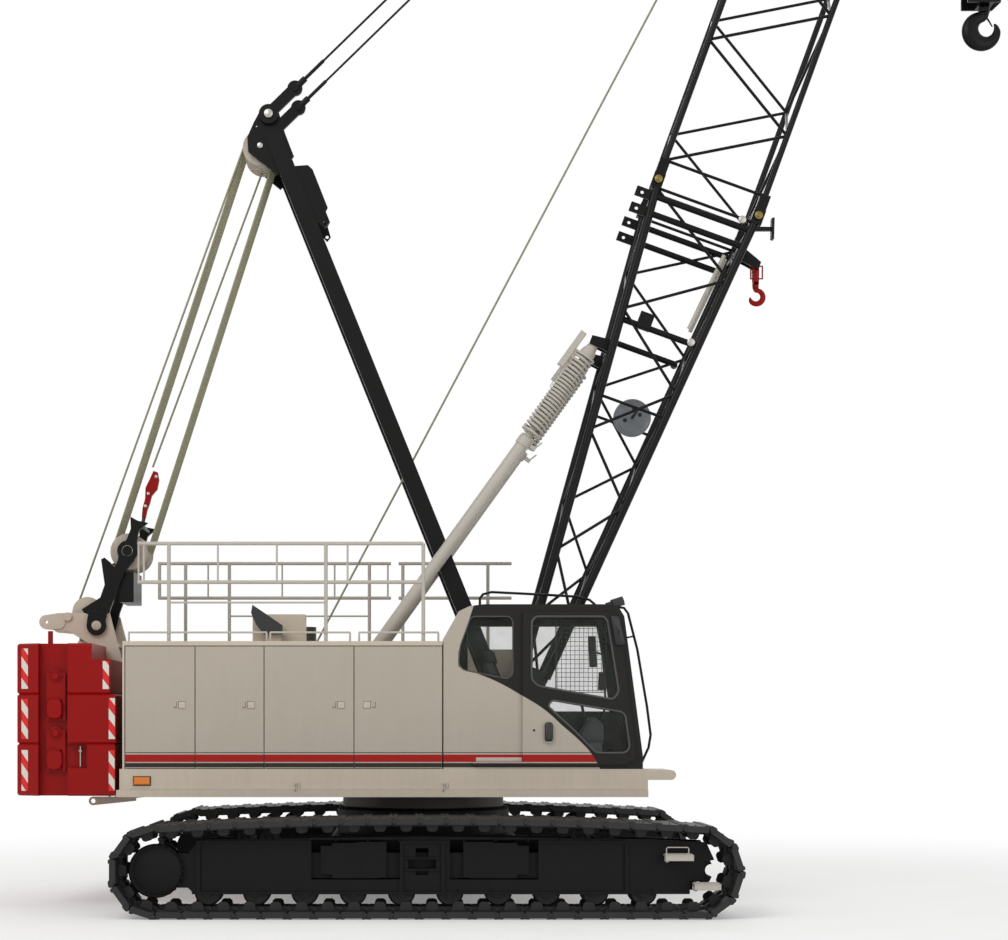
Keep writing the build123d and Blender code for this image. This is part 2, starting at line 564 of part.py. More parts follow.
# ================================================================ machinery houses
DOOR_TOP = ROOF_Z - 45
POST = 45.0                 # house wall left standing each side of a seam
backing_y = SIDE_FACE - DOOR_THICKNESS - DOOR_BACKING
for (side, hand), (_, front_x, doors) in zip(RIGHT_AND_LEFT, HOUSE_DOORS):
    rear_x = HOUSE_REAR
    door_front = max(max(hinge, free) for _, hinge, free in doors)
    with BuildPart() as house:
        block((rear_x, front_x), across((BAY_HALF, SIDE_FACE), hand), (SKIRT_TOP, ROOF_Z))
        block((rear_x + WALL, front_x - WALL), across((BAY_HALF + WALL, backing_y - WALL), hand),
              (SKIRT_TOP - 1, ROOF_Z - WALL), mode=Mode.SUBTRACT)
        block((rear_x + DOOR_END - DOOR_SEAM / 2, door_front + (1 if hand < 0 else DOOR_SEAM)),
              across((backing_y, SIDE_FACE + 1), hand), (SKIRT_TOP - 1, DOOR_TOP), mode=Mode.SUBTRACT)
        for _, hinge, free in doors:
            low_x, high_x = sorted((hinge, free))
            block((low_x + POST, high_x - POST), across((backing_y - WALL - 1, backing_y + 1), hand),
                  (HOUSE_FLOOR + 2 * POST, DOOR_TOP - POST), mode=Mode.SUBTRACT)
        roof_edges = house.edges().filter_by(Axis.X).group_by(Axis.Z)[-1].sort_by(Axis.Y)
        chamfer(roof_edges[0 if hand < 0 else -1], ROOF_BEVEL)
    save(house, f"house_{side}")

    for name, hinge, free in doors:
        low_x, high_x = sorted((hinge, free))
        with BuildPart() as door:
            block((low_x + DOOR_SEAM / 2, high_x - DOOR_SEAM / 2),
                  across((SIDE_FACE - DOOR_THICKNESS, SIDE_FACE), hand), (HOUSE_FLOOR, DOOR_TOP - DOOR_SEAM))
            latch_x = free + (90 if hinge > free else -170)
            block((latch_x, latch_x + 80), across((SIDE_FACE - LATCH_DEPTH, SIDE_FACE + 1), hand), LATCH_Z,
                  mode=Mode.SUBTRACT)
            with Locations((*door_pin(hinge, free, hand), SKIRT_TOP - 30)):
                Cylinder(DOOR_PIN, DOOR_SEAM + 40, align=(Align.CENTER, Align.CENTER, Align.MIN))
        save(door, f"door_{name}")

with BuildPart() as engine_block:
    block((-3500, -2150), (830, 1330), (SKIRT_TOP, 2350))
    block((-2100, -1500), (880, 1280), (SKIRT_TOP, 2050))
save(engine_block, "engine_block")

# ================================================================ cab
WINDSHIELD = ((CAB_FRONT, 1560.0), (960.0, 2960.0))
WINDSHIELD_OPENING = (1640.0, 2930.0)       # heights
# corner points of the cab's side, from the lower rear corner, clockwise as seen from the right
CAB_OUTLINE = [
    (CAB_REAR, SKIRT_TOP), (CAB_REAR, 2735.0), (-700.0, 3010.0), (-590.0, 3062.0), (-450.0, CAB_ROOF),
    (820.0, CAB_ROOF), (905.0, 3050.0), WINDSHIELD[1], WINDSHIELD[0], (CAB_FRONT, SKIRT_TOP)]


def inset(points, distance):
    """Outline moved inwards by a distance, for walls of even thickness."""
    with BuildSketch() as outer:
        with BuildLine():
            Polyline(*points, close=True)
        make_face()
    shrunk = offset(outer.sketch, amount=-distance, kind=Kind.INTERSECTION, mode=Mode.PRIVATE)
    corners = shrunk.faces()[0].outer_wire().order_edges()
    return [(edge.position_at(0).X, edge.position_at(0).Y) for edge in corners]


REAR_WINDOW = [(-705.0, 2483.0), (-686.0, 2662.0), (-588.0, 2931.0), (-552.0, 2957.0), (-194.0, 2957.0),
               (-158.0, 2913.0), (-158.0, 2376.0), (-212.0, 2330.0), (-659.0, 2421.0)]
DOOR_OUTLINE = [(CAB_DOOR_REAR, 1500.0), (CAB_DOOR_REAR, 3000.0), (835.0, 3000.0), (905.0, 2950.0),
                (1075.0, 1560.0), (1045.0, 1500.0)]
DOOR_WINDOW = [(28.0, 2322.0), (28.0, 2911.0), (72.0, 2955.0), (753.0, 2955.0), (788.0, 2911.0),
               (903.0, 2197.0), (842.0, 2124.0), (91.0, 2259.0)]
LOWER_WINDOW = [(189.0, 2057.0), (232.0, 2117.0), (931.0, 1999.0), (967.0, 1963.0), (1011.0, 1642.0),
                (967.0, 1588.0), (672.0, 1588.0), (466.0, 1803.0)]
LEFT_WINDOW = [(-600.0, 2000.0), (-600.0, 2900.0), (760.0, 2900.0), (900.0, 2000.0)]
door_y = (CAB_SIDE + CAB_DOOR_CLEARANCE, CAB_SIDE + CAB_DOOR_CLEARANCE + CAB_DOOR_THICKNESS)
cab_inner_y = -BAY_HALF - DOOR_SEAM
cab_outer = -CAB_SIDE
pane_y = (cab_outer + 70, cab_inner_y - 70)
with BuildPart() as cab_shell:
    slab(CAB_OUTLINE, cab_outer, cab_inner_y)
    slab(inset(CAB_OUTLINE, CAB_WALL), cab_outer + CAB_WALL, cab_inner_y - CAB_WALL, mode=Mode.SUBTRACT)
    slab(REAR_WINDOW, cab_outer - 1, cab_outer + CAB_WALL + 1, mode=Mode.SUBTRACT)
    slab(inset(DOOR_OUTLINE, DOOR_LAP), cab_outer - 1, cab_outer + CAB_WALL + 1, mode=Mode.SUBTRACT)
    slab(LEFT_WINDOW, cab_inner_y - CAB_WALL - 1, cab_inner_y + 1, mode=Mode.SUBTRACT)
    block((900, CAB_FRONT + 1), pane_y, WINDSHIELD_OPENING, mode=Mode.SUBTRACT)
    block((-560, 1000), (-door_y[1], cab_outer + 1), (1470, DOOR_OUTLINE[0][1] - PIN_FIT))
save(cab_shell, "cab_shell")

with BuildPart() as cab_glass:
    slab(REAR_WINDOW, cab_outer + 20, cab_outer + 20 + GLASS)
    slab(LEFT_WINDOW, cab_inner_y - 20 - GLASS, cab_inner_y - 20)
    pane_foot, pane_head = WINDSHIELD
    pane_rise = pane_head[1] - pane_foot[1]
    pane_length = hypot(pane_head[0] - pane_foot[0], pane_rise)
    pane = side_plane(pane_foot, degrees(atan2(pane_rise, pane_head[0] - pane_foot[0])))
    low, high = [(height - pane_foot[1]) * pane_length / pane_rise for height in WINDSHIELD_OPENING]
    slab([(low + PANE_EDGE, PANE_DEPTH), (high, PANE_DEPTH), (high, PANE_DEPTH + GLASS),
          (low + PANE_EDGE, PANE_DEPTH + GLASS)], *pane_y, plane=pane)
save(cab_glass, "cab_glass")

with BuildPart() as cab_interior:
    seat_y = (cab_outer + 190, cab_inner_y - 130)
    block((-330, 180), seat_y, (SKIRT_TOP + CAB_WALL, 1850))
    slab([(-330, 1850), (180, 1850), (180, 1960), (-230, 1960), (-330, 2600), (-430, 2600)], *seat_y)
    block((520, 760), (cab_outer + 190, cab_inner_y - 130), (SKIRT_TOP + CAB_WALL, 1950))
save(cab_interior, "cab_interior")

with BuildPart() as cab_door:
    slab(DOOR_OUTLINE, -door_y[1], -door_y[0])
    for window in (DOOR_WINDOW, LOWER_WINDOW):
        slab(window, -door_y[1] - 1, -door_y[0] + 1, mode=Mode.SUBTRACT)
    block((175, 225), (-door_y[1] - 30, -door_y[1] + 1), (1690, 1890))
save(cab_door, "cab_door")

with BuildPart() as cab_door_glass:
    for window in (DOOR_WINDOW, LOWER_WINDOW):
        slab(window, -door_y[0] - 22, -door_y[0] - 22 + GLASS)
save(cab_door_glass, "cab_door_glass")

# ================================================================ counterweight
# for each slab: knob low and high, strap pin height; None where it has none
WEIGHT_LINKS = {
    "lower": ((1420.0, 1610.0), None),
    "middle": ((1935.0, 2114.0), 1788.0),
    "upper": (None, 2362.0)}
strap_x = (STRAP[0] + STRAP[1]) / 2
recess_y = WEIGHT_HALF - RECESS_DEPTH
strap_y = (recess_y + STRAP_GAP, recess_y + STRAP_GAP + STRAP_SHEET)
for number, name in enumerate(("lower", "middle", "upper")):
    low_z, high_z = WEIGHT_JOINTS[number:number + 2]
    front_x = WEIGHT_FRONTS[name]
    knob_z, pin_z = WEIGHT_LINKS[name]
    with BuildPart() as counterweight:
        block((WEIGHT_REAR, front_x), around(0, WEIGHT_HALF), (low_z, high_z))
        chamfer(counterweight.edges().filter_by(Axis.Z).group_by(Axis.X)[0], *WEIGHT_CORNER)
        chamfer(counterweight.faces().sort_by(Axis.Z)[-1].edges(), WEIGHT_BEVEL)
        chamfer(counterweight.faces().sort_by(Axis.Z)[0].edges(), WEIGHT_BEVEL)
        if name == "upper":
            block((front_x - WEIGHT_STEP[0], front_x + 1), around(0, WEIGHT_HALF + 1),
                  (high_z - WEIGHT_STEP[1], high_z + 1), mode=Mode.SUBTRACT)
            block((WEIGHT_NOTCH[0], front_x + 1), around(0, WEIGHT_NOTCH[1]), (low_z - 1, high_z + 1),
                  mode=Mode.SUBTRACT)
        for hand in (-1, 1):
            block(WEIGHT_RECESS, across((recess_y, WEIGHT_HALF + 1), hand), (low_z - 1, high_z + 1),
                  mode=Mode.SUBTRACT)
            if name == "lower":
                block(LIFTING_POCKET, across((recess_y, WEIGHT_HALF + 1), hand), (POCKET_FLOOR, high_z + 1),
                      mode=Mode.SUBTRACT)
            if name == "upper":
                with Locations((strap_x - 73, hand * (recess_y - STRAP_PIN), high_z)):
                    Cylinder(STRAP_PIN * 0.4, 2 * STRAP_PIN, align=UPWARD)
            if knob_z:
                block(around(strap_x, KNOB), across((recess_y - 1, strap_y[1] + STRAP_SHEET), hand), knob_z)
            if pin_z:
                cross_rod((strap_x, pin_z), *across((recess_y - 1, strap_y[1] + 2 * STRAP_GAP), hand),
                          STRAP_PIN / 2)
    save(counterweight, f"counterweight_{name}")

with BuildPart() as weight_straps:
    for below, above in (("lower", "middle"), ("middle", "upper")):
        knob_z, pin_z = WEIGHT_LINKS[below][0], WEIGHT_LINKS[above][1]
        for hand in (-1, 1):
            block(STRAP, across(strap_y, hand), (knob_z[0] - STRAP_SHEET, pin_z + STRAP_PIN / 2))
            cross_rod((strap_x, pin_z), *across((strap_y[0], strap_y[1] + STRAP_GAP / 2), hand), STRAP_PIN)
            block(around(strap_x, KNOB + CLEARANCE), across((strap_y[0] - 1, strap_y[1] + 1), hand),
                  (knob_z[0] - CLEARANCE, knob_z[1] + CLEARANCE), mode=Mode.SUBTRACT)
            cross_rod((strap_x, pin_z), *across((strap_y[0] - 1, strap_y[1] + STRAP_GAP), hand),
                      STRAP_PIN / 2 + PIN_FIT, mode=Mode.SUBTRACT)
save(weight_straps, "weight_straps")

# ================================================================ gantry
base_y = (GANTRY_HALF + GANTRY_PLATE, GANTRY_HALF + GANTRY_PLATE + BASE_PLATE)
GANTRY_BASE = [
    (-4100.0, DECK_TOP), (-3900.0, DECK_TOP), (-3900.0, 2150.0), (-4232.0, 2555.0), (-4360.0, 3050.0),
    (-4440.0, 3030.0), (-4560.0, 3030.0), (-4640.0, 3055.0), (-4900.0, 3050.0),
    (REAR_LUG[0], REAR_LUG[1] + REAR_LUG_RADIUS), (REAR_LUG[0], REAR_LUG[1] - REAR_LUG_RADIUS),
    (-4790.0, 2860.0), (-4545.0, 2705.0), (-4520.0, 2560.0), (-4290.0, 2240.0), (-4130.0, 2190.0)]
BASE_FLOOR = ((-4700.0, -4330.0), (2712.0, 2752.0))
BASE_TIE = (-4800.0, 3012.0)
with BuildPart() as gantry_base:
    for hand in (-1, 1):
        slab(GANTRY_BASE, *across(base_y, hand))
        link((-4900, REAR_LUG[1]), REAR_LUG, REAR_LUG_RADIUS,
             *across((base_y[0], base_y[1] + GANTRY_PLATE / 4), hand))
        cross_rod(BASE_TIE, *across((base_y[0], base_y[1] + GANTRY_PLATE / 2), hand), REAR_LUG_RADIUS * 0.6)
        cross_rod(REAR_LUG, *across((base_y[0] - 1, base_y[1] + GANTRY_PLATE), hand), REAR_LUG_BORE,
                  mode=Mode.SUBTRACT)
        cross_rod(GANTRY_FOOT, *across((base_y[0] - 1, base_y[1] + 1), hand), GANTRY_PIN + PIN_FIT,
                  mode=Mode.SUBTRACT)
    block(BASE_FLOOR[0], around(0, base_y[0] + 1), BASE_FLOOR[1])
save(gantry_base, "gantry_base")

GANTRY_LEG = [
    (-4597.0, 2921.0), (-4565.0, 2853.0), (-4497.0, 2824.0), (-4429.0, 2853.0), (-4400.0, 2921.0),
    (-4355.0, 3100.0), (-4280.0, 3300.0), (-4200.0, 3500.0), (-4115.0, 3600.0), (-4070.0, 3700.0),
    (-4080.0, 3818.0), (-4053.0, 3926.0), (-3961.0, 4007.0), (-4064.0, 4028.0), (-4145.0, 4072.0),
    (-4141.0, 3943.0), (-4185.0, 3830.0), (-4264.0, 3742.0), (-4275.0, 3620.0), (-4313.0, 3531.0),
    (-4360.0, 3590.0), (-4420.0, 3640.0), (-4455.0, 3620.0), (-4417.0, 3353.0), (-4464.0, 3217.0),
    (-4660.0, 3092.0), (-4620.0, 3030.0)]
ROPE_GUARDS = ((-4405.0, 3590.0), (-4035.0, 3975.0))
GANTRY_BOX = ((-4268.0, -4116.0), (3170.0, 3494.0))
with BuildPart() as gantry:
    for hand in (-1, 1):
        leg_y = across((GANTRY_HALF, base_y[0] - PIN_FIT), hand)
        slab(GANTRY_LEG, *leg_y)
        cross_rod(GANTRY_HEAD, *leg_y, GANTRY_PIN * 2)
        cross_rod(GANTRY_HEAD, *across((GANTRY_HALF, base_y[0] + GANTRY_PLATE / 4), hand), GANTRY_PIN)
        cross_rod(GANTRY_FOOT, *across((GANTRY_HALF, base_y[1] + GANTRY_PLATE / 2), hand), GANTRY_PIN)
    cross_rod(GANTRY_HEAD, *around(0, GANTRY_HALF + 1), SHEAVE_PIN)
    for guard in ROPE_GUARDS:
        cross_rod(guard, *around(0, GANTRY_HALF + 1), LACING)
    block(GANTRY_BOX[0], around(0, GANTRY_HALF + 1), GANTRY_BOX[1])
save(gantry, "gantry")


def sheave(centre, middle_y, rope_radius, bore, width):
    """Wheel with a rope groove; the rope's centre line runs round it at rope_radius."""
    low = rope_radius - ROPE - PIN_FIT
    high, seat, mouth = low + GROOVE, ROPE + 1, width * 0.36
    with BuildSketch(Plane(origin=(centre[0], middle_y, centre[1]), x_dir=(0, 1, 0), z_dir=(1, 0, 0))) as rim:
        with BuildLine():
            Polyline((-width / 2, bore), (width / 2, bore), (width / 2, high), (mouth, high), (seat, low),
                     (-seat, low), (-mouth, high), (-width / 2, high), close=True)
        make_face()
    revolve(rim.sketch, axis=Axis((centre[0], middle_y, centre[1]), (0, 1, 0)), revolution_arc=360)


def sheave_ys(count, pitch):
    return [pitch * (number - (count - 1) / 2) for number in range(count)]


with BuildPart() as gantry_sheaves:
    for sheave_y in sheave_ys(6, SHEAVE_PITCH):
        sheave(GANTRY_HEAD, sheave_y, GANTRY_SHEAVE, SHEAVE_PIN + PIN_FIT, SHEAVE_PITCH - 2)
save(gantry_sheaves, "gantry_sheaves")

with BuildPart() as hoist_drums:
    for drum_x in (DRUM_REAR_X, DRUM_REAR_X + DRUM_PITCH):
        cross_rod((drum_x, DRUM_Z), -DRUM_HALF, DRUM_HALF, DRUM_RADIUS)
        for flange_y in (-DRUM_HALF - 25, DRUM_HALF):
            cross_rod((drum_x, DRUM_Z), flange_y, flange_y + 25, DRUM_FLANGE)
        for hand in (-1, 1):
            cross_rod((drum_x, DRUM_Z), *across((DRUM_HALF + 20, DRUM_HALF + 60), hand), 90)
            slab([(drum_x - 260, DECK_TOP), (drum_x + 260, DECK_TOP), (drum_x + 110, DRUM_Z + 110),
                  (drum_x - 110, DRUM_Z + 110)], *across((DRUM_HALF + 60, DRUM_HALF + 90), hand))
save(hoist_drums, "hoist_drums")

WINCH_FLANGE = 20.0
with BuildPart() as boom_winch:
    drum_half = GANTRY_HALF - 3 * WINCH_FLANGE
    cross_rod(BOOM_WINCH, *around(0, drum_half), BOOM_WINCH_RADIUS - GROOVE)
    for hand in (-1, 1):
        cross_rod(BOOM_WINCH, *across((drum_half - WINCH_FLANGE, drum_half), hand), BOOM_WINCH_RADIUS)
        cross_rod(BOOM_WINCH, *across((drum_half - 1, GANTRY_HALF - WINCH_FLANGE + 1), hand), SHEAVE_PIN)
        slab([(BOOM_WINCH[0] - 80, BASE_FLOOR[1][1]), (BOOM_WINCH[0] + 120, BASE_FLOOR[1][1]),
              (BOOM_WINCH[0] + 50, BOOM_WINCH[1] + 60), (BOOM_WINCH[0] - 50, BOOM_WINCH[1] + 60)],
             *across((GANTRY_HALF - WINCH_FLANGE - 10, GANTRY_HALF - 10), hand))
save(boom_winch, "boom_winch")

# ---------------------------------------------------------------- handrails on the house roofs
RAIL_HIGH = ROOF_Z + 987
RAIL_MID = ROOF_Z + 597
RAIL_THIN = ROOF_Z + 392
RAIL_LOW = ROOF_Z + 90
# level rails: side, distance from the middle, rear end, front end, height, radius
LEVEL_RAILS = (
    ("right", 1400.0, -3934.0, -1056.0, RAIL_HIGH, RAIL),
    ("right", 1400.0, -3934.0, -1056.0, RAIL_MID, RAIL),
    ("right", 1400.0, -3620.0, -2038.0, RAIL_THIN, THIN_RAIL),
    ("right", 1420.0, -4024.0, -2630.0, RAIL_LOW, THIN_RAIL),
    ("right", 1420.0, -2600.0, -1790.0, RAIL_LOW, THIN_RAIL),
    ("right", 1420.0, -1706.0, -901.0, RAIL_LOW, THIN_RAIL),
    ("left", 1150.0, -4034.0, -1402.0, RAIL_HIGH, RAIL),
    ("left", 1150.0, -4034.0, -1402.0, RAIL_MID, RAIL),
    ("left", 1150.0, -1317.0, -40.0, RAIL_HIGH, RAIL),
    ("left", 1150.0, -1317.0, -40.0, RAIL_MID, RAIL),
    ("left", 1150.0, -3230.0, -1647.0, RAIL_THIN, THIN_RAIL))
# posts: side, distance from the middle, X, foot, top, radius
RAIL_POSTS = (
    ("right", 1400.0, -3620.0, ROOF_Z, RAIL_HIGH, RAIL),
    ("right", 1400.0, -2038.0, ROOF_Z, RAIL_HIGH, RAIL),
    ("right", 1400.0, -1056.0, ROOF_Z, RAIL_HIGH, RAIL),
    ("right", 1400.0, -3925.0, RAIL_MID, RAIL_HIGH, THIN_RAIL),
    ("right", 1400.0, -3872.0, RAIL_MID, RAIL_HIGH, THIN_RAIL),
    ("right", 1400.0, -3126.0, RAIL_MID, RAIL_HIGH, THIN_RAIL),
    ("right", 1400.0, -2532.0, RAIL_MID, RAIL_HIGH, THIN_RAIL),
    ("right", 1400.0, -1819.0, RAIL_MID, RAIL_HIGH, THIN_RAIL),
    ("right", 1420.0, -4020.0, ROOF_Z, RAIL_LOW, THIN_RAIL),
    ("right", 1420.0, -2634.0, ROOF_Z, RAIL_LOW, THIN_RAIL),
    ("right", 1420.0, -2596.0, ROOF_Z, RAIL_LOW, THIN_RAIL),
    ("right", 1420.0, -1794.0, ROOF_Z, RAIL_LOW, THIN_RAIL),
    ("right", 1420.0, -1702.0, ROOF_Z, RAIL_LOW, THIN_RAIL),
    ("right", 1420.0, -905.0, ROOF_Z, RAIL_LOW, THIN_RAIL),
    ("left", 1150.0, -4020.0, RAIL_MID, RAIL_HIGH, RAIL),
    ("left", 1150.0, -3725.0, ROOF_Z, RAIL_HIGH, RAIL),
    ("left", 1150.0, -3230.0, ROOF_Z, RAIL_HIGH, RAIL),
    ("left", 1150.0, -1647.0, ROOF_Z, RAIL_HIGH, RAIL),
    ("left", 1150.0, -1269.0, ROOF_Z, RAIL_HIGH, RAIL),
    ("left", 1150.0, -307.0, ROOF_Z, RAIL_HIGH, RAIL),
    ("left", 1150.0, -3470.0, RAIL_MID, RAIL_HIGH, THIN_RAIL),
    ("left", 1150.0, -2633.0, RAIL_MID, RAIL_HIGH, THIN_RAIL),
    ("left", 1150.0, -2040.0, RAIL_MID, RAIL_HIGH, THIN_RAIL),
    ("left", 1150.0, -1438.0, RAIL_MID, RAIL_HIGH, THIN_RAIL))
for side, hand in RIGHT_AND_LEFT:
    with BuildPart() as handrails:
        bars = []
        for rail_side, reach, rear_x, front_x, rail_z, radius in LEVEL_RAILS:
            if rail_side == side:
                bars += rods([((rear_x, hand * reach, rail_z), (front_x, hand * reach, rail_z))], radius)
        for rail_side, reach, post_x, low_z, high_z, radius in RAIL_POSTS:
            if rail_side == side:
                bars += rods([((post_x, hand * reach, low_z), (post_x, hand * reach, high_z))], radius)
        add(bars)
    save(handrails, f"handrails_{side}")

# side outline of the intake's scoop
SCOOP = [(-2790.0, 3089.0), (-2804.0, 3007.0), (-2750.0, 2882.0), (-2667.0, 2785.0), (-2475.0, 2782.0),
         (-2481.0, 2882.0)]
with BuildPart() as air_intake:
    block((-2799, -2263), (-1100, -800), (ROOF_Z, 3000))
    slab(SCOOP, -1250, -1099)
    block((-2650, -2500), (-1200, -1099), (ROOF_Z, 2783))
save(air_intake, "air_intake")

with BuildPart() as exhaust:
    with Locations((-2350, 1000, ROOF_Z)):
        Cylinder(110, 260, align=UPWARD)
save(exhaust, "exhaust")

# ================================================================ boom
boom_side = side_plane(foot, BOOM_ANGLE)
boom_run, boom_rise = direction(BOOM_ANGLE)


def boom_point(along, back, y=0.0):
    """Point measured along the boom from its foot pin, and back from its centre line."""
    return FOOT_X + along * boom_run - back * boom_rise, y, FOOT_Z + along * boom_rise + back * boom_run


def boom_half_depth(along):
    """Half the distance between the chords' centre lines."""
    if along < BASE_LENGTH:
        return (FOOT_DEPTH + (BOOM_DEPTH - FOOT_DEPTH) * along / BASE_LENGTH) / 2
    if along < TAPER_START:
        return BOOM_DEPTH / 2
    share = (along - TAPER_START) / (BOOM_LENGTH - TAPER_START)
    return (BOOM_DEPTH + (HEAD_DEPTH - BOOM_DEPTH) * share) / 2


def lattice(stations, chord_radius, shift):
    """Four chords with zigzag lacing on the four faces, between a list of stations."""
    first, last = stations[0], stations[-1]
    knees = [along for along in (first, TAPER_START, last) if first <= along <= last]
    chords, laces = [], []
    half = BOOM_WIDTH / 2
    for low, high in zip(knees, knees[1:]):
        for back in (-1, 1):
            for y in (-half, half):
                chords.append((boom_point(low, back * boom_half_depth(low), y),
                               boom_point(high, back * boom_half_depth(high), y)))
    for number, (low, high) in enumerate(zip(stations, stations[1:])):
        turn = 1 if (number + shift) % 2 else -1
        for y in (-half, half):
            back = turn * (1 if y > 0 else -1)
            laces.append((boom_point(low, back * boom_half_depth(low), y),
                          boom_point(high, -back * boom_half_depth(high), y)))
        for back in (-1, 1):
            y = turn * back * half
            laces.append((boom_point(low, back * boom_half_depth(low), y),
                          boom_point(high, back * boom_half_depth(high), -y)))
    for along in (first, last):
        for back in (-1, 1):
            laces.append((boom_point(along, back * boom_half_depth(along), -half),
                          boom_point(along, back * boom_half_depth(along), half)))
        for y in (-half, half):
            laces.append((boom_point(along, -boom_half_depth(along), y),
                          boom_point(along, boom_half_depth(along), y)))
    add(rods(chords, chord_radius))
    add(rods(laces, LACING))


def cross_tube(along, back, radius):
    """Round tube from one side face of the boom to the other."""
    half = BOOM_WIDTH / 2
    rod(boom_point(along, back, -half), boom_point(along, back, half), radius)


eye = boom_point(BACKSTOP_STATION, boom_half_depth(BACKSTOP_STATION) + BACKSTOP_OFFSET)
BACKSTOP_EYE = (eye[0], eye[2])
EAR = 20.0
AUX_BACK = -764.0           # auxiliary hook's pin, ahead of the boom's centre line
aux_pin = boom_point(BASE_LENGTH - 400, AUX_BACK)
AUX_PIN = (aux_pin[0], aux_pin[2])
HEAD_SOCKET = 70.0
JOINT_STRUTS = (240.0, 425.0)       # heavy struts below the joint
REAR_LUGS = (249.0, 425.0)
REEL = (BASE_LENGTH - 2384.0, -73.0)
REEL_RADIUS = 200.0
base_start, base_end = BASE_START, BASE_LENGTH - JOINT_LUG
with BuildPart() as boom_base:
    step = (base_end - base_start) / BASE_PANELS
    lattice([base_start + step * number for number in range(BASE_PANELS + 1)], BASE_CHORD, 0)
    for hand in (-1, 1):
        low_y, high_y = across(boom_foot_y, hand)
        half = boom_half_depth(base_start)
        slab([(0, -FOOT_PIN * 1.8), (base_start + 60, -half - 30), (base_start + 60, half + 30),
              (0, FOOT_PIN * 1.8)], low_y, high_y, plane=boom_side)
        cross_rod(foot, low_y, high_y, FOOT_PIN * 1.8)
        cross_rod(foot, low_y - 1, high_y + 1, FOOT_PIN + PIN_FIT, mode=Mode.SUBTRACT)
        for back in (-1, 1):
            centre = back * BOOM_DEPTH / 2
            slab([(base_end - 10, centre - 60), (BASE_LENGTH - PIN_FIT, centre - 60),
                  (BASE_LENGTH - PIN_FIT, centre + 60), (base_end - 10, centre + 60)],
                 hand * BOOM_WIDTH / 2 - 45, hand * BOOM_WIDTH / 2 + 45, plane=boom_side)
    eye_back = boom_half_depth(BACKSTOP_STATION)
    cross_tube(BACKSTOP_STATION, eye_back, BACKSTOP_BAR)
    for hand in (-1, 1):
        for ear in (-1, 1):
            ear_y = hand * BACKSTOP_HALF + ear * (BACKSTOP_ROD + CLEARANCE + EAR / 2)
            slab([(BACKSTOP_STATION - 70, eye_back), (BACKSTOP_STATION + 70, eye_back),
                  (BACKSTOP_STATION + 45, eye_back + BACKSTOP_OFFSET + 60),
                  (BACKSTOP_STATION - 45, eye_back + BACKSTOP_OFFSET + 60)], ear_y - EAR / 2, ear_y + EAR / 2,
                 plane=boom_side)
    for bracket_y in (-70.0, 50.0):
        slab([(BASE_LENGTH - 400, 30 - BOOM_DEPTH / 2), (BASE_LENGTH - 250, 30 - BOOM_DEPTH / 2),
              (BASE_LENGTH - 350, AUX_BACK - 35), (BASE_LENGTH - 440, AUX_BACK - 35)],
             bracket_y, bracket_y + EAR, plane=boom_side)
    cross_tube(BASE_LENGTH - 330, -BOOM_DEPTH / 2 + 20, CROSS_TUBE)
    cross_rod(AUX_PIN, -51, 51, 20)
    struts = []
    for hand in (-1, 1):
        y = hand * BOOM_WIDTH / 2
        for below in JOINT_STRUTS:
            struts += rods([(boom_point(BASE_LENGTH - below, -BOOM_DEPTH / 2, y),
                             boom_point(BASE_LENGTH - below, BOOM_DEPTH / 2, y))], CROSS_TUBE)
        half = boom_half_depth(REEL[0])
        struts += rods([(boom_point(REEL[0], -half, y), boom_point(REEL[0], half, y))], LACING)
    add(struts)
    cross_tube(REEL[0], REEL[1], LACING)
    reel = boom_point(*REEL)
    cross_rod((reel[0], reel[2]), *around(0, 35), REEL_RADIUS)
    for hand in (-1, 1):
        for below in REAR_LUGS:
            lug, lug_back = BASE_LENGTH - below, BOOM_DEPTH / 2 + 112
            lug_y = around(hand * BOOM_WIDTH / 2, EAR / 2)
            slab([(lug - 52, BOOM_DEPTH / 2), (lug + 52, BOOM_DEPTH / 2), (lug + 52, lug_back + 70),
                  (lug - 52, lug_back + 70)], *lug_y, plane=boom_side)
            hole = boom_point(lug, lug_back)
            cross_rod((hole[0], hole[2]), lug_y[0] - 1, lug_y[1] + 1, REAR_LUG_BORE, mode=Mode.SUBTRACT)
        for back in (-1, 1):
            pin = boom_point(BASE_LENGTH - JOINT_LUG / 2, back * BOOM_DEPTH / 2)
            cross_rod((pin[0], pin[2]), *around(hand * BOOM_WIDTH / 2, 60), JOINT_PIN)
save(boom_base, "boom_base")

top_start, top_end = BASE_LENGTH + JOINT_LUG, BOOM_LENGTH - HEAD_LENGTH
with BuildPart() as boom_top:
    step = (top_end - top_start) / TOP_PANELS
    lattice([top_start + step * number for number in range(TOP_PANELS + 1)], TOP_CHORD, 0)
    for hand in (-1, 1):
        for back in (-1, 1):
            for low, high in ((BASE_LENGTH, top_start + 10), (top_end - 10, top_end + HEAD_SOCKET)):
                centre = back * boom_half_depth(low)
                slab([(low, centre - 55), (high, centre - 55), (high, centre + 55), (low, centre + 55)],
                     hand * BOOM_WIDTH / 2 - 40, hand * BOOM_WIDTH / 2 + 40, plane=boom_side)
save(boom_top, "boom_top")

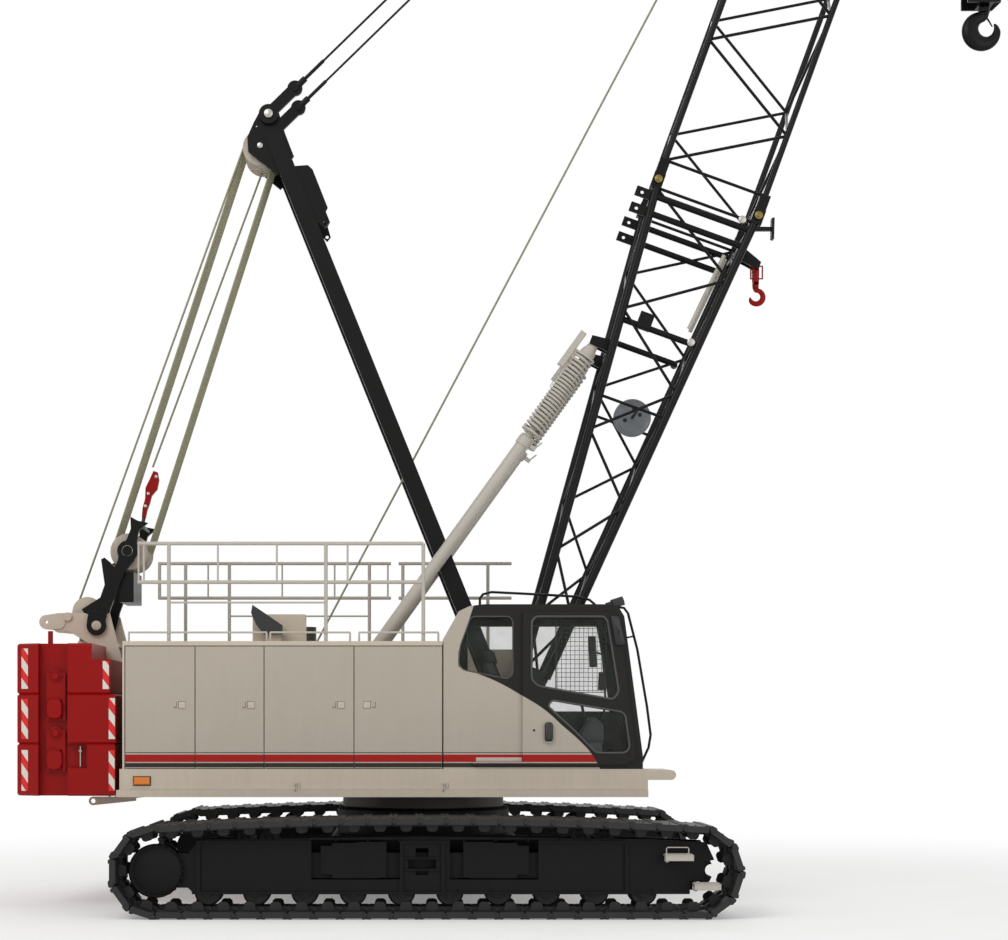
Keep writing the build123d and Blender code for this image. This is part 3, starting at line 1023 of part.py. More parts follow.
pendant_y = MAST_HEAD_HALF + 43
tip = boom_point(BOOM_LENGTH, -TIP_FORWARD)
tip_centre = (tip[0], tip[2])
idler = boom_point(BOOM_LENGTH - IDLER_BELOW, IDLER_BACK)
idler_centre = (idler[0], idler[2])
pendant_eye = boom_point(BOOM_LENGTH + EYE_AHEAD, EYE_BACK)
PENDANT_EYE = (pendant_eye[0], pendant_eye[2])
head_start = top_end + HEAD_SOCKET
with BuildPart() as boom_head:
    for hand in (-1, 1):
        for back in (-1, 1):
            centre = back * boom_half_depth(top_end)
            slab([(head_start, centre - 60), (head_start + 90, centre - 60), (head_start + 90, centre + 60),
                  (head_start, centre + 60)], hand * BOOM_WIDTH / 2 - 50, hand * BOOM_WIDTH / 2 + 50,
                 plane=boom_side)
        low_y, high_y = across((HEAD_HALF, HEAD_HALF + HEAD_PLATE), hand)
        slab([(head_start + 40, -380), (BOOM_LENGTH - 20, -230), (BOOM_LENGTH + 90, -200),
              (BOOM_LENGTH + 140, -80), (BOOM_LENGTH + 330, 480), (BOOM_LENGTH + 230, 560),
              (BOOM_LENGTH - 60, 540), (head_start + 40, 380)], low_y, high_y, plane=boom_side)
    for back in (-1, 1):
        centre = back * boom_half_depth(top_end)
        slab([(head_start + 40, centre - 50), (head_start + 90, centre - 50), (head_start + 90, centre + 50),
              (head_start + 40, centre + 50)], -BOOM_WIDTH / 2, BOOM_WIDTH / 2, plane=boom_side)
    for pin, radius in ((tip_centre, TIP_PIN), (idler_centre, IDLER_PIN)):
        cross_rod(pin, -HEAD_HALF - 1, HEAD_HALF + 1, radius)
    for hand in (-1, 1):
        cross_rod(PENDANT_EYE, *across((HEAD_HALF + 1, pendant_y + 30), hand), 38)
save(boom_head, "boom_head")

with BuildPart() as head_sheaves:
    for sheave_y in sheave_ys(4, BLOCK_PITCH):
        sheave(tip_centre, sheave_y, TIP_SHEAVE, TIP_PIN + PIN_FIT, BLOCK_PITCH - 2)
    sheave(idler_centre, 0, IDLER_SHEAVE, IDLER_PIN + PIN_FIT, BLOCK_PITCH - 2)
save(head_sheaves, "head_sheaves")

# ================================================================ mast
mast_run, mast_rise = direction(MAST_ANGLE)


def mast_point(along, back, y=0.0):
    """Point measured along the mast's legs from the foot pin, and back from their centre line."""
    return FOOT_X + along * mast_run - back * mast_rise, y, FOOT_Z + along * mast_rise + back * mast_run


MAST_HEAD = [
    (-2905.0, 7950.0), (-2600.0, 7700.0), (-2420.0, 7900.0), (-2514.0, 8143.0), (-2590.0, 8400.0),
    (-2660.0, 8440.0), (-2770.0, 8400.0), (-2850.0, 8250.0), (-2914.0, 8104.0)]
MAST_HEAD_HOLE = (-2818.0, 8220.0)
MAST_BRACKET = [
    (-2460.0, 7790.0), (-2272.0, 7803.0), (-2221.0, 7757.0), (-2061.0, 7353.0), (-2086.0, 7302.0),
    (-2052.0, 7187.0), (-2092.0, 7135.0), (-2140.0, 7190.0), (-2210.0, 7190.0)]
MAST_BRACKET_HOLE = (-2092.0, 7187.0)
with BuildPart() as mast:
    for hand in (-1, 1):
        low_y, high_y = across(mast_foot_y, hand)
        cross_rod(foot, low_y, high_y, FOOT_PIN * 1.8)
        with BuildSketch(Plane(origin=mast_point(0, 0, hand * MAST_FOOT_HALF), x_dir=(0, 1, 0),
                               z_dir=(mast_run, 0, mast_rise))) as low_section:
            Rectangle(MAST_LEG_WIDTH, MAST_LEG_DEPTH)
        with BuildSketch(Plane(origin=mast_point(MAST_LENGTH, 0, hand * MAST_HEAD_HALF), x_dir=(0, 1, 0),
                               z_dir=(mast_run, 0, mast_rise))) as high_section:
            Rectangle(MAST_LEG_WIDTH, MAST_LEG_DEPTH)
        loft([low_section.sketch.face(), high_section.sketch.face()])
        cross_rod(foot, low_y - 1, high_y + 1, FOOT_PIN + PIN_FIT, mode=Mode.SUBTRACT)
    for along in MAST_TIES:
        reach = MAST_FOOT_HALF + (MAST_HEAD_HALF - MAST_FOOT_HALF) * along / MAST_LENGTH
        rod(mast_point(along, 0, -reach), mast_point(along, 0, reach), MAST_TIE)
    for hand in (-1, 1):
        low_y, high_y = across((MAST_HEAD_HALF - 25, MAST_HEAD_HALF + 15), hand)
        slab(MAST_HEAD, low_y, high_y)
        cross_rod(MAST_HEAD_HOLE, low_y - 1, high_y + 1, THIN_RAIL, mode=Mode.SUBTRACT)
        bracket_y = across((MAST_HEAD_HALF, MAST_HEAD_HALF + 25), hand)
        slab(MAST_BRACKET, *bracket_y)
        cross_rod(MAST_BRACKET_HOLE, bracket_y[0] - 1, bracket_y[1] + 1, REAR_LUG_BORE, mode=Mode.SUBTRACT)
    for pin, radius in ((MAST_SHEAVE_PIN, SHEAVE_PIN), (PENDANT_PIN, PENDANT_TUBE)):
        cross_rod(pin, -MAST_HEAD_HALF + 20, MAST_HEAD_HALF - 20, radius)
    for hand in (-1, 1):
        low_y, high_y = across((MAST_HEAD_HALF + 10, MAST_HEAD_HALF + 75), hand)
        cross_rod(PENDANT_PIN, low_y, high_y, PENDANT_SHAFT)
save(mast, "mast")

with BuildPart() as mast_sheaves:
    for sheave_y in sheave_ys(5, SHEAVE_PITCH):
        sheave(MAST_SHEAVE_PIN, sheave_y, MAST_SHEAVE, SHEAVE_PIN + PIN_FIT, SHEAVE_PITCH - 2)
save(mast_sheaves, "mast_sheaves")

run, rise = PENDANT_EYE[0] - PENDANT_PIN[0], PENDANT_EYE[1] - PENDANT_PIN[1]
pendant_length = hypot(run, rise)
pendant_side = side_plane(PENDANT_PIN, degrees(atan2(rise, run)))
with BuildPart() as pendants:
    for hand in (-1, 1):
        plate_y = around(hand * pendant_y, 20)
        cross_rod(PENDANT_PIN, *plate_y, 104)
        link((0, 0), (PENDANT_LINK, 0), 60, *plate_y, plane=pendant_side)
        far_pin = pendant_side.from_local_coords((PENDANT_LINK, 0, 0))
        cross_rod((far_pin.X, far_pin.Z), *plate_y, 80)
        cross_rod((far_pin.X, far_pin.Z), *around(hand * pendant_y, 34), 35)
        # near end, far end and radius of the socket, its sleeve, the rope and the far sleeve
        for low, high, radius in (
                (PENDANT_LINK, PENDANT_LINK + 150, 34), (PENDANT_LINK + 120, PENDANT_LINK + 420, 19),
                (PENDANT_LINK + 400, pendant_length - 60, PENDANT_ROPE),
                (pendant_length - 420, pendant_length - 60, 19)):
            rod(pendant_side.from_local_coords((low, 0, -hand * pendant_y)),
                pendant_side.from_local_coords((high, 0, -hand * pendant_y)), radius)
        cross_rod(PENDANT_EYE, *plate_y, 75)
        for pin in (PENDANT_PIN, PENDANT_EYE):
            cross_rod(pin, plate_y[0] - 1, plate_y[1] + 1, PENDANT_SHAFT + PIN_FIT, mode=Mode.SUBTRACT)
save(pendants, "pendants")

# ================================================================ boom backstops
run, rise = BACKSTOP_EYE[0] - BACKSTOP_FOOT[0], BACKSTOP_EYE[1] - BACKSTOP_FOOT[1]
backstop_length = hypot(run, rise)
backstop_side = side_plane(BACKSTOP_FOOT, degrees(atan2(rise, run)))
tube_end = backstop_length - SPRING_REACH - 60


def backstop_point(along, hand):
    return backstop_side.from_local_coords((along, 0, -hand * BACKSTOP_HALF))


for side, hand in RIGHT_AND_LEFT:
    with BuildPart() as backstop_tube:
        rod(backstop_point(0, hand), backstop_point(tube_end, hand), BACKSTOP_TUBE)
        low_y, high_y = around(hand * BACKSTOP_HALF, 34)
        for cheek_y in ((low_y - BACKSTOP_TUBE, low_y), (high_y, high_y + BACKSTOP_TUBE)):
            block(around(BACKSTOP_FOOT[0], BACKSTOP_TUBE + 20), cheek_y,
                  around(BACKSTOP_FOOT[1], BACKSTOP_TUBE + 20), mode=Mode.SUBTRACT)
        cross_rod(BACKSTOP_FOOT, low_y, high_y, BACKSTOP_TUBE)
        cross_rod(BACKSTOP_FOOT, low_y - 1, high_y + 1, BACKSTOP_PIN + PIN_FIT, mode=Mode.SUBTRACT)
        rod(backstop_point(BACKSTOP_BORE, hand), backstop_point(tube_end + 1, hand), BACKSTOP_ROD + PIN_FIT,
            mode=Mode.SUBTRACT)
    save(backstop_tube, f"backstop_tube_{side}")

    with BuildPart() as backstop_rod:
        rod(backstop_point(tube_end - BACKSTOP_INSIDE, hand), backstop_point(backstop_length, hand),
            BACKSTOP_ROD)
        cross_rod(BACKSTOP_EYE, *around(hand * BACKSTOP_HALF, BACKSTOP_ROD - 2), BACKSTOP_EYE_RADIUS)
        with BuildPart(mode=Mode.PRIVATE) as spring:
            rod(backstop_point(tube_end + 60, hand), backstop_point(backstop_length - 180, hand),
                SPRING_RADIUS)
            rod(backstop_point(tube_end + 50, hand), backstop_point(backstop_length - 210, hand),
                SPRING_RADIUS - SPRING_WALL, mode=Mode.SUBTRACT)
        add(spring.part)
    save(backstop_rod, f"backstop_rod_{side}")

# ================================================================ hooks
fall_x = tip_centre[0] + TIP_SHEAVE
BLOCK_LOW = HOOK_Z + BLOCK_ABOVE
block_centre = (fall_x, BLOCK_LOW + 400)
BLOCK_CHEEK = (
    (-215.0, 0.0), (-215.0, 500.0), (-110.0, 680.0), (110.0, 680.0), (215.0, 500.0), (215.0, 90.0),
    (120.0, 0.0))
with BuildPart() as hook_block:
    for hand in (-1, 1):
        slab([(fall_x + x, BLOCK_LOW + z) for x, z in BLOCK_CHEEK], *across((120, 145), hand))
    cross_rod(block_centre, *around(0, 144), SHEAVE_PIN)
    with Locations((fall_x, 0, BLOCK_LOW)):
        Box(150, 280, 120, align=UPWARD)
save(hook_block, "hook_block")

with BuildPart() as block_sheaves:
    for sheave_y in (-BLOCK_PITCH, BLOCK_PITCH):
        sheave(block_centre, sheave_y, BLOCK_SHEAVE, SHEAVE_PIN + PIN_FIT, BLOCK_PITCH - 8)
save(block_sheaves, "block_sheaves")

with BuildPart() as hook_falls:
    for y in (-BLOCK_PITCH, BLOCK_PITCH):
        for turn in (-1, 1):
            rod((fall_x + turn * BLOCK_SHEAVE, y, block_centre[1]),
                (fall_x, y + turn * BLOCK_PITCH / 2, tip_centre[1]), ROPE)
save(hook_falls, "hook_falls")

BOWL = (-34.0, 211.0)        # centres of the hook's outer round and of its throat, from its lowest point
THROAT = (18.0, 238.0)
with BuildPart() as hook:
    with Locations((fall_x, 0, HOOK_Z + 385)):
        Cylinder(NECK_RADIUS, BLOCK_ABOVE - 385 - PIN_FIT, align=UPWARD)
    with BuildSketch(SIDE.offset(-HOOK_SHEET / 2)) as bowl:
        with Locations((fall_x + BOWL[0], HOOK_Z + BOWL[1])):
            Circle(HOOK_RADIUS)
        with Locations((fall_x + THROAT[0], HOOK_Z + THROAT[1])):
            Circle(HOOK_THROAT, mode=Mode.SUBTRACT)
        with BuildLine():
            Polyline((fall_x + THROAT[0] - 60, HOOK_Z + THROAT[1] + 30), (fall_x + 70, HOOK_Z + 440),
                     (fall_x + 240, HOOK_Z + 440), (fall_x + 160, HOOK_Z + 317), (fall_x + 98, HOOK_Z + 300),
                     close=True)
        make_face(mode=Mode.SUBTRACT)
        with BuildLine():
            Polyline((fall_x - 75, HOOK_Z + 350), (fall_x - 60, HOOK_Z + 400), (fall_x + 50, HOOK_Z + 400),
                     (fall_x + 20, HOOK_Z + 300), (fall_x - 70, HOOK_Z + 300), close=True)
        make_face()
    extrude(bowl.sketch, amount=HOOK_SHEET)
save(hook, "hook")

with BuildPart() as aux_hook:
    for hand in (-1, 1):
        slab([(AUX_PIN[0] - 30, AUX_PIN[1] - 200), (AUX_PIN[0] + 30, AUX_PIN[1] - 200),
              (AUX_PIN[0] + 30, AUX_PIN[1] + 35), (AUX_PIN[0] - 30, AUX_PIN[1] + 35)],
             *across((22, 42), hand))
    block(around(AUX_PIN[0], 30), around(0, 42), (AUX_PIN[1] - SHACKLE, AUX_PIN[1] - SHACKLE + 60))
    cross_rod(AUX_PIN, -43, 43, 20 + PIN_FIT, mode=Mode.SUBTRACT)
    with BuildSketch(SIDE.offset(-25)) as bowl:
        with Locations((AUX_PIN[0] + 10, AUX_PIN[1] - 330)):
            Circle(100)
            Circle(50, mode=Mode.SUBTRACT)
    extrude(bowl.sketch, amount=50)
save(aux_hook, "aux_hook")
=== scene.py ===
from math import atan2, cos, hypot, pi, radians, sin

import bpy
import numpy as np
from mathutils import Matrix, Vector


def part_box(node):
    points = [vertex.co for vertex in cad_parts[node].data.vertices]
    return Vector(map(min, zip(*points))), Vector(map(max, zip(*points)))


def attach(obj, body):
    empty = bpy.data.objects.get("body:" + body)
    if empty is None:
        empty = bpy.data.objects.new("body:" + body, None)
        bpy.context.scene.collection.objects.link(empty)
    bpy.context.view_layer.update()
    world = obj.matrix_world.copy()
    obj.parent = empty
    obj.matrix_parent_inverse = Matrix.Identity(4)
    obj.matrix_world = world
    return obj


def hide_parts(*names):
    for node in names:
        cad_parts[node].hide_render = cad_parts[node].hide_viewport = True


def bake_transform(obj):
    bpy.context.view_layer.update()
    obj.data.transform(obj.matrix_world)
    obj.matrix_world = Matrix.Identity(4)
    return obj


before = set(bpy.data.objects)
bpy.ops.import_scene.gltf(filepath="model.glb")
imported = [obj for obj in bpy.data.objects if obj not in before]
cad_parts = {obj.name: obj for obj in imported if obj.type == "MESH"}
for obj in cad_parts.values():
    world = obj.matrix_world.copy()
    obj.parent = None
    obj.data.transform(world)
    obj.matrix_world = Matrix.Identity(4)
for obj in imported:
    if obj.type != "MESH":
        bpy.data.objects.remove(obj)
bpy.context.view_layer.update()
print("frame loaded", len(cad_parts), "nodes")
xAxis, yAxis, zAxis = np.eye(3)
bothSides = (("right", -1), ("left", 1))   # name and sign of Y


# colours and shader nodes
def hexLinear(text, share=1.0):
    # sRGB hex to linear: c/12.92 below 0.04045, else ((c+0.055)/1.055)^2.4; share below 1 darkens it
    parts = [int(text[i:i + 2], 16) / 255 for i in (1, 3, 5)]
    parts = [c / 12.92 if c <= 0.04045 else ((c + 0.055) / 1.055) ** 2.4 for c in parts]
    return (*(share * c for c in parts), 1.0)


def setInputs(node, inputs):
    # an input is a number, a colour or another node's output socket
    for key, value in inputs.items():
        if isinstance(value, bpy.types.NodeSocket):
            node.id_data.links.new(value, node.inputs[key])
        else:
            node.inputs[key].default_value = value


def addNode(tree, kind, inputs, output=0, **settings):
    # adds a node with its own options and its inputs, and gives back one of its output sockets
    # a MapRange's inputs 0 to 4 are value, from low, from high, to low, to high;
    # a Mix's inputs 0, 6 and 7 are the share of the second colour and the two colours
    node = tree.nodes.new("ShaderNode" + kind)
    for key, value in settings.items():
        setattr(node, key, value)
    setInputs(node, inputs)
    return node.outputs[output]


def newMaterial(name):
    # gives back the material, its node tree, its shader and the place on the piece in metres
    material = bpy.data.materials.new(name)
    material.use_nodes = True
    tree = material.node_tree
    return material, tree, tree.nodes["Principled BSDF"], addNode(tree, "TexCoord", {}, "Object")


def paintedSteel(name, colour, rough, dust, dustAmount, dustTop=1.2):
    # sprayed enamel on steel plate: a smooth skin, its tone uneven over about 0.6 m where it has weathered
    # dust = streaks 0.05 m wide and 0.6 m long x a fall from full at the ground to a quarter at dustTop x
    # dustAmount; colour goes to the dust's and gloss goes down as dust goes up; bump is orange peel 6 mm wide
    material, tree, shader, place = newMaterial(name)
    broad = addNode(tree, "TexNoise", {"Vector": place, "Scale": 1.7, "Detail": 5.0, "Roughness": 0.6})
    stretched = addNode(tree, "Mapping", {"Vector": place, "Scale": (6.0, 6.0, 0.55)})
    streaks = addNode(tree, "TexNoise", {"Vector": stretched, "Scale": 3.2, "Detail": 6.0, "Roughness": 0.65})
    height = addNode(tree, "SeparateXYZ", {0: place}, "Z")
    low = addNode(tree, "MapRange", {0: height, 1: 0.0, 2: dustTop, 3: 1.0, 4: 0.25})
    spread = addNode(tree, "MapRange", {0: streaks, 1: 0.42, 2: 0.72})
    dusty = addNode(tree, "Math", {0: spread, 1: low}, operation="MULTIPLY")
    dusty = addNode(tree, "Math", {0: dusty, 1: dustAmount}, operation="MULTIPLY")
    tones = {0: broad, 6: hexLinear(colour, 0.90), 7: hexLinear(colour)}
    tone = addNode(tree, "Mix", tones, 2, data_type="RGBA")
    tone = addNode(tree, "Mix", {0: dusty, 6: tone, 7: hexLinear(dust)}, 2, data_type="RGBA")
    roughness = addNode(tree, "MapRange", {0: dusty, 1: 0.0, 2: 0.6, 3: rough, 4: min(rough + 0.35, 0.9)})
    peel = addNode(tree, "TexNoise", {"Vector": place, "Scale": 160.0, "Detail": 2.0})
    bump = addNode(tree, "Bump", {"Strength": 0.25, "Distance": 0.0006, "Height": peel})
    setInputs(shader, {"Base Color": tone, "Roughness": roughness, "Normal": bump})
    setInputs(shader, {"IOR": 1.5, "Specular IOR Level": 0.15})
    return material


liverySpec = dict(
    enamel="#b1a89b", dust="#8f8371", cabField="#1b1a18", sideY=1.45,
    bands=[(1.443, 1.486, 0.002, "#2b2724"),      # bottom, top, edge and colour
           (1.586, 1.594, 0.001, "#2b2724"), (1.497, 1.571, 0.002, "#9c1310")],
    halfSpan=0.72,                                # of the cab line, in X
    cabLine=[(-0.72, 2.46), (-0.499, 2.378), (-0.289, 2.288), (-0.058, 2.157), (0.162, 2.017), (0.342, 1.857),
             (0.522, 1.697), (0.622, 1.587), (0.72, 1.42)],   # X and Z, black above it
    rearX=-0.705, bendZ=2.60, rearSlope=0.33)     # rear edge of the black field


def liveryPaint(name, hasCab):
    # the same enamel with masked bands sprayed over it along the house: a dark one, a pin line and a red one
    # a band's mask = step up at its bottom x step down at its top x 1 where |Y| is outside sideY
    # on the cab a black field lies above the cab line and ahead of an edge that leans forwards above bendZ
    material = paintedSteel(name, liverySpec["enamel"], 0.42, liverySpec["dust"], 0.20, 2.2)
    tree = material.node_tree
    shader = tree.nodes["Principled BSDF"]
    axes = addNode(tree, "SeparateXYZ", {0: addNode(tree, "TexCoord", {}, "Object")}).node.outputs
    away = addNode(tree, "Math", {0: axes["Y"]}, operation="ABSOLUTE")
    side = addNode(tree, "MapRange", {0: away, 1: liverySpec["sideY"], 2: liverySpec["sideY"] + 0.002})
    painted = shader.inputs["Base Color"].links[0].from_socket
    for low, high, soft, colour in liverySpec["bands"]:
        up = addNode(tree, "MapRange", {0: axes["Z"], 1: low - soft, 2: low + soft})
        down = addNode(tree, "MapRange", {0: axes["Z"], 1: high - soft, 2: high + soft, 3: 1.0, 4: 0.0})
        mask = addNode(tree, "Math", {0: up, 1: down}, operation="MULTIPLY")
        mask = addNode(tree, "Math", {0: mask, 1: side}, operation="MULTIPLY")
        painted = addNode(tree, "Mix", {0: mask, 6: painted, 7: hexLinear(colour)}, 2, data_type="RGBA")
    if hasCab:
        span, tallest = liverySpec["halfSpan"], 4.0
        share = addNode(tree, "MapRange", {0: axes["X"], 1: -span, 2: span})
        curve = addNode(tree, "FloatCurve", {"Value": share})
        points = curve.node.mapping.curves[0].points
        while len(points) < len(liverySpec["cabLine"]):
            points.new(0.5, 0.5)
        for point, (lineX, lineZ) in zip(points, liverySpec["cabLine"]):
            point.location = ((lineX + span) / (2 * span), lineZ / tallest)
            point.handle_type = "AUTO"
        curve.node.mapping.update()
        lineZ = addNode(tree, "Math", {0: curve, 1: tallest}, operation="MULTIPLY")
        over = addNode(tree, "Math", {0: axes["Z"], 1: lineZ}, operation="SUBTRACT")
        above = addNode(tree, "MapRange", {0: over, 1: -0.002, 2: 0.002})
        lean = addNode(tree, "Math", {0: axes["Z"], 1: liverySpec["bendZ"]}, operation="SUBTRACT")
        lean = addNode(tree, "Math", {0: lean, 1: 0.0}, operation="MAXIMUM")
        lean = addNode(tree, "Math", {0: lean, 1: liverySpec["rearSlope"]}, operation="MULTIPLY")
        past = addNode(tree, "Math", {0: axes["X"], 1: liverySpec["rearX"]}, operation="SUBTRACT")
        past = addNode(tree, "Math", {0: past, 1: lean}, operation="SUBTRACT")
        ahead = addNode(tree, "MapRange", {0: past, 1: -0.002, 2: 0.002})
        mask = addNode(tree, "Math", {0: above, 1: ahead}, operation="MULTIPLY")
        field = hexLinear(liverySpec["cabField"])
        painted = addNode(tree, "Mix", {0: mask, 6: painted, 7: field}, 2, data_type="RGBA")
    setInputs(shader, {"Base Color": painted, "Coat Weight": 0.10, "Coat Roughness": 0.18})
    return material


def bareSteel(name, colour, rough, grain):
    # turned or drawn steel: a metal sheen under thin oil; colour, gloss and bump all follow one noise, drawn
    # 1/grain metres wide, 11 to 17 mm, because real machining marks are too fine to show
    material, tree, shader, place = newMaterial(name)
    lines = addNode(tree, "TexNoise", {"Vector": place, "Scale": grain, "Detail": 4.0, "Roughness": 0.7})
    tones = {0: lines, 6: hexLinear(colour, 0.7), 7: hexLinear(colour)}
    tone = addNode(tree, "Mix", tones, 2, data_type="RGBA")
    roughness = addNode(tree, "MapRange", {0: lines, 1: 0.3, 2: 0.7, 3: rough, 4: rough + 0.15})
    bump = addNode(tree, "Bump", {"Strength": 0.2, "Distance": 0.0006, "Height": lines})
    setInputs(shader, {"Base Color": tone, "Roughness": roughness, "Normal": bump, "Metallic": 1.0})
    return material


def wireRope(name, colour, gap):
    # greased steel rope: six strands round it that wind once in about 0.14 m, 6.5 rope diameters
    # wave = |sin(pi (6 U + 42 V))|, U round the rope and V along it in metres; where it is low, in the grooves
    # between strands, the darker gap colour is painted shade
    material, tree, shader, _ = newMaterial(name)
    axes = addNode(tree, "SeparateXYZ", {0: addNode(tree, "TexCoord", {}, "UV")}).node.outputs
    around = addNode(tree, "Math", {0: axes["X"], 1: 6.0}, operation="MULTIPLY")
    along = addNode(tree, "Math", {0: axes["Y"], 1: 42.0}, operation="MULTIPLY")
    turn = addNode(tree, "Math", {0: around, 1: along}, operation="ADD")
    turn = addNode(tree, "Math", {0: turn, 1: pi}, operation="MULTIPLY")
    wave = addNode(tree, "Math", {0: turn}, operation="SINE")
    wave = addNode(tree, "Math", {0: wave}, operation="ABSOLUTE")
    proud = addNode(tree, "MapRange", {0: wave, 1: 0.0, 2: 0.45})
    # the gap colour is painted shade in the grooves between the strands
    tone = addNode(tree, "Mix", {0: proud, 6: hexLinear(gap), 7: hexLinear(colour)}, 2, data_type="RGBA")
    bump = addNode(tree, "Bump", {"Strength": 0.6, "Distance": 0.002, "Height": wave})
    setInputs(shader, {"Base Color": tone, "Normal": bump, "Metallic": 0.35, "Roughness": 0.5})
    return material


def speckled(name, colour, second, rough, scale, bumpDepth, metal=0.0):
    # moulded, cast or woven surface: two close tones in grains 1/scale metres wide and raised bumpDepth metres;
    # moulded skins are drawn 4 to 11 mm wide because their real grain is too fine to show
    material, tree, shader, place = newMaterial(name)
    grains = addNode(tree, "TexNoise", {"Vector": place, "Scale": scale, "Detail": 5.0, "Roughness": 0.7})
    tone = addNode(tree, "Mix", {0: grains, 6: hexLinear(colour), 7: hexLinear(second)}, 2, data_type="RGBA")
    bump = addNode(tree, "Bump", {"Strength": 0.5, "Distance": bumpDepth, "Height": grains})
    setInputs(shader, {"Base Color": tone, "Normal": bump, "Roughness": rough, "Metallic": metal})
    return material


def tintedGlass(name, colour, second, alpha, specular):
    # laminated glass or clear plastic: a tint, a sharp reflection, and dust 0.2 m wide that hides more
    material, tree, shader, place = newMaterial(name)
    film = addNode(tree, "TexNoise", {"Vector": place, "Scale": 5.0, "Detail": 6.0})
    solid = addNode(tree, "MapRange", {0: film, 1: 0.3, 2: 0.8, 3: alpha, 4: alpha + 0.06})
    tone = addNode(tree, "Mix", {0: film, 6: hexLinear(colour), 7: hexLinear(second)}, 2, data_type="RGBA")
    setInputs(shader, {"Base Color": tone, "Alpha": solid, "Roughness": 0.05, "IOR": 1.52})
    setInputs(shader, {"Specular IOR Level": specular})
    return material


def reflectiveFilm(name, first, second):
    # slanted bands 0.108 m high, first where fract(4.65 (Z + 1.3 X)) is below a half and second above it
    # the film's honeycomb is drawn 4.5 mm wide
    material, tree, shader, place = newMaterial(name)
    axes = addNode(tree, "SeparateXYZ", {0: place}).node.outputs
    slant = addNode(tree, "Math", {0: axes["X"], 1: 1.3}, operation="MULTIPLY")
    slant = addNode(tree, "Math", {0: axes["Z"], 1: slant}, operation="ADD")
    wave = addNode(tree, "Math", {0: slant, 1: 4.65}, operation="MULTIPLY")
    wave = addNode(tree, "Math", {0: wave}, operation="FRACT")
    split = addNode(tree, "MapRange", {0: wave, 1: 0.49, 2: 0.51})
    tone = addNode(tree, "Mix", {0: split, 6: hexLinear(first), 7: hexLinear(second)}, 2, data_type="RGBA")
    cells = addNode(tree, "TexVoronoi", {"Vector": place, "Scale": 220.0}, "Distance")
    bump = addNode(tree, "Bump", {"Strength": 0.2, "Distance": 0.0003, "Height": cells})
    setInputs(shader, {"Base Color": tone, "Normal": bump, "Roughness": 0.35})
    return material


housePaint = liveryPaint("beigeEnamelBanded", False)
cabPaint = liveryPaint("beigeEnamelCab", True)
beigePaint = paintedSteel("beigeEnamel", "#c4b8a8", 0.45, "#8f8371", 0.25, 2.0)
chassisPaint = paintedSteel("blackChassisEnamel", "#101010", 0.5, "#24211d", 0.3, 0.9)
boomPaint = paintedSteel("blackBoomEnamel", "#0d0d0c", 0.34, "#211f1c", 0.2, 6.0)
redPaint = paintedSteel("redWeightEnamel", "#900a08", 0.34, "#5c1c14", 0.22, 2.6)
silverPaint = paintedSteel("silverBeigeEnamel", "#b9b3a9", 0.34, "#8a8378", 0.2, 2.0)
sheavePaint = paintedSteel("beigeSheaveEnamel", "#bdb2a4", 0.45, "#6b6252", 0.5, 12.0)
machineGrey = paintedSteel("greyEngineEnamel", "#6f7274", 0.5, "#4a443c", 0.4, 2.4)
shoeSteel = speckled("castManganeseSteel", "#0b0b0b", "#171615", 0.6, 38.0, 0.003)        # sand-cast skin
galvanised = speckled("galvanisedSheet", "#5d6166", "#74797c", 0.45, 26.0, 0.0002, 0.4)   # 40 mm spangle
latchGrey = speckled("dieCastLatchZinc", "#6d675f", "#8b857b", 0.5, 40.0, 0.0003, 0.3)
# this black finish goes only on discs laid over the reel's holes: painted shade standing in for the holes'
# depth
rubber = speckled("paintedHoleShadeBlack", "#141414", "#1e1e1e", 0.75, 120.0, 0.0008)
sealRubber = speckled("windowSealRubber", "#3a3b3a", "#4a4b4a", 0.6, 90.0, 0.0004)
blackPlastic = speckled("mouldedBlackPlastic", "#17181a", "#222326", 0.5, 220.0, 0.0005)
trimPlastic = speckled("greyTrimPlastic", "#3f4145", "#4a4c50", 0.6, 200.0, 0.0006)
seatCloth = speckled("ribbedSeatCloth", "#26282c", "#34373c", 0.9, 300.0, 0.001)          # 3 mm weave
pinSteel = bareSteel("turnedPinSteel", "#b9b7b0", 0.30, 90.0)
brassSteel = bareSteel("yellowZincSteel", "#857545", 0.34, 90.0)
darkSteel = bareSteel("oiledDarkSteel", "#4b4a48", 0.42, 60.0)
# its second colour is painted shade in the rope's grooves
ropeSteel = wireRope("greasedRopeSteel", "#8d8a70", "#3c3a2c")
stripFilm = reflectiveFilm("redWhiteReflectiveFilm", "#c90a06", "#cfccc2")
cabGlass = tintedGlass("laminatedCabGlass", "#33372f", "#5c615a", 0.10, 0.2)
lampAmber = tintedGlass("amberLensPlastic", "#d46a14", "#e58a2c", 0.95, 0.4)
lampClear = tintedGlass("clearLensPlastic", "#d8dcdc", "#c9d0cc", 0.85, 0.5)
print("materials", len(bpy.data.materials))


# shapes: each is its vertices, its four-sided faces and the faces that cap its ends
def gridQuads(rows, columns, closeRows=False, closeColumns=False):
    # faces between neighbours of a grid whose vertex number is row * columns + column
    r = np.arange(rows if closeRows else rows - 1)[:, None]
    c = np.arange(columns if closeColumns else columns - 1)[None, :]
    r2, c2 = (r + 1) % rows, (c + 1) % columns
    corners = [r * columns + c, r * columns + c2, r2 * columns + c2, r2 * columns + c]
    return np.stack(corners, -1).reshape(-1, 4)


def sideYs(hand, near, far):
    # Y from near to far on one side of the crane, lowest first
    return sorted((hand * near, hand * far))


def joined(shapes):
    verts, quads, caps, start = [], [], [], 0
    for v, q, c in shapes:
        verts.append(v)
        quads.append(np.asarray(q, int).reshape(-1, 4) + start)
        caps += [[i + start for i in cap] for cap in c]
        start += len(v)
    return np.concatenate(verts), np.concatenate(quads), caps


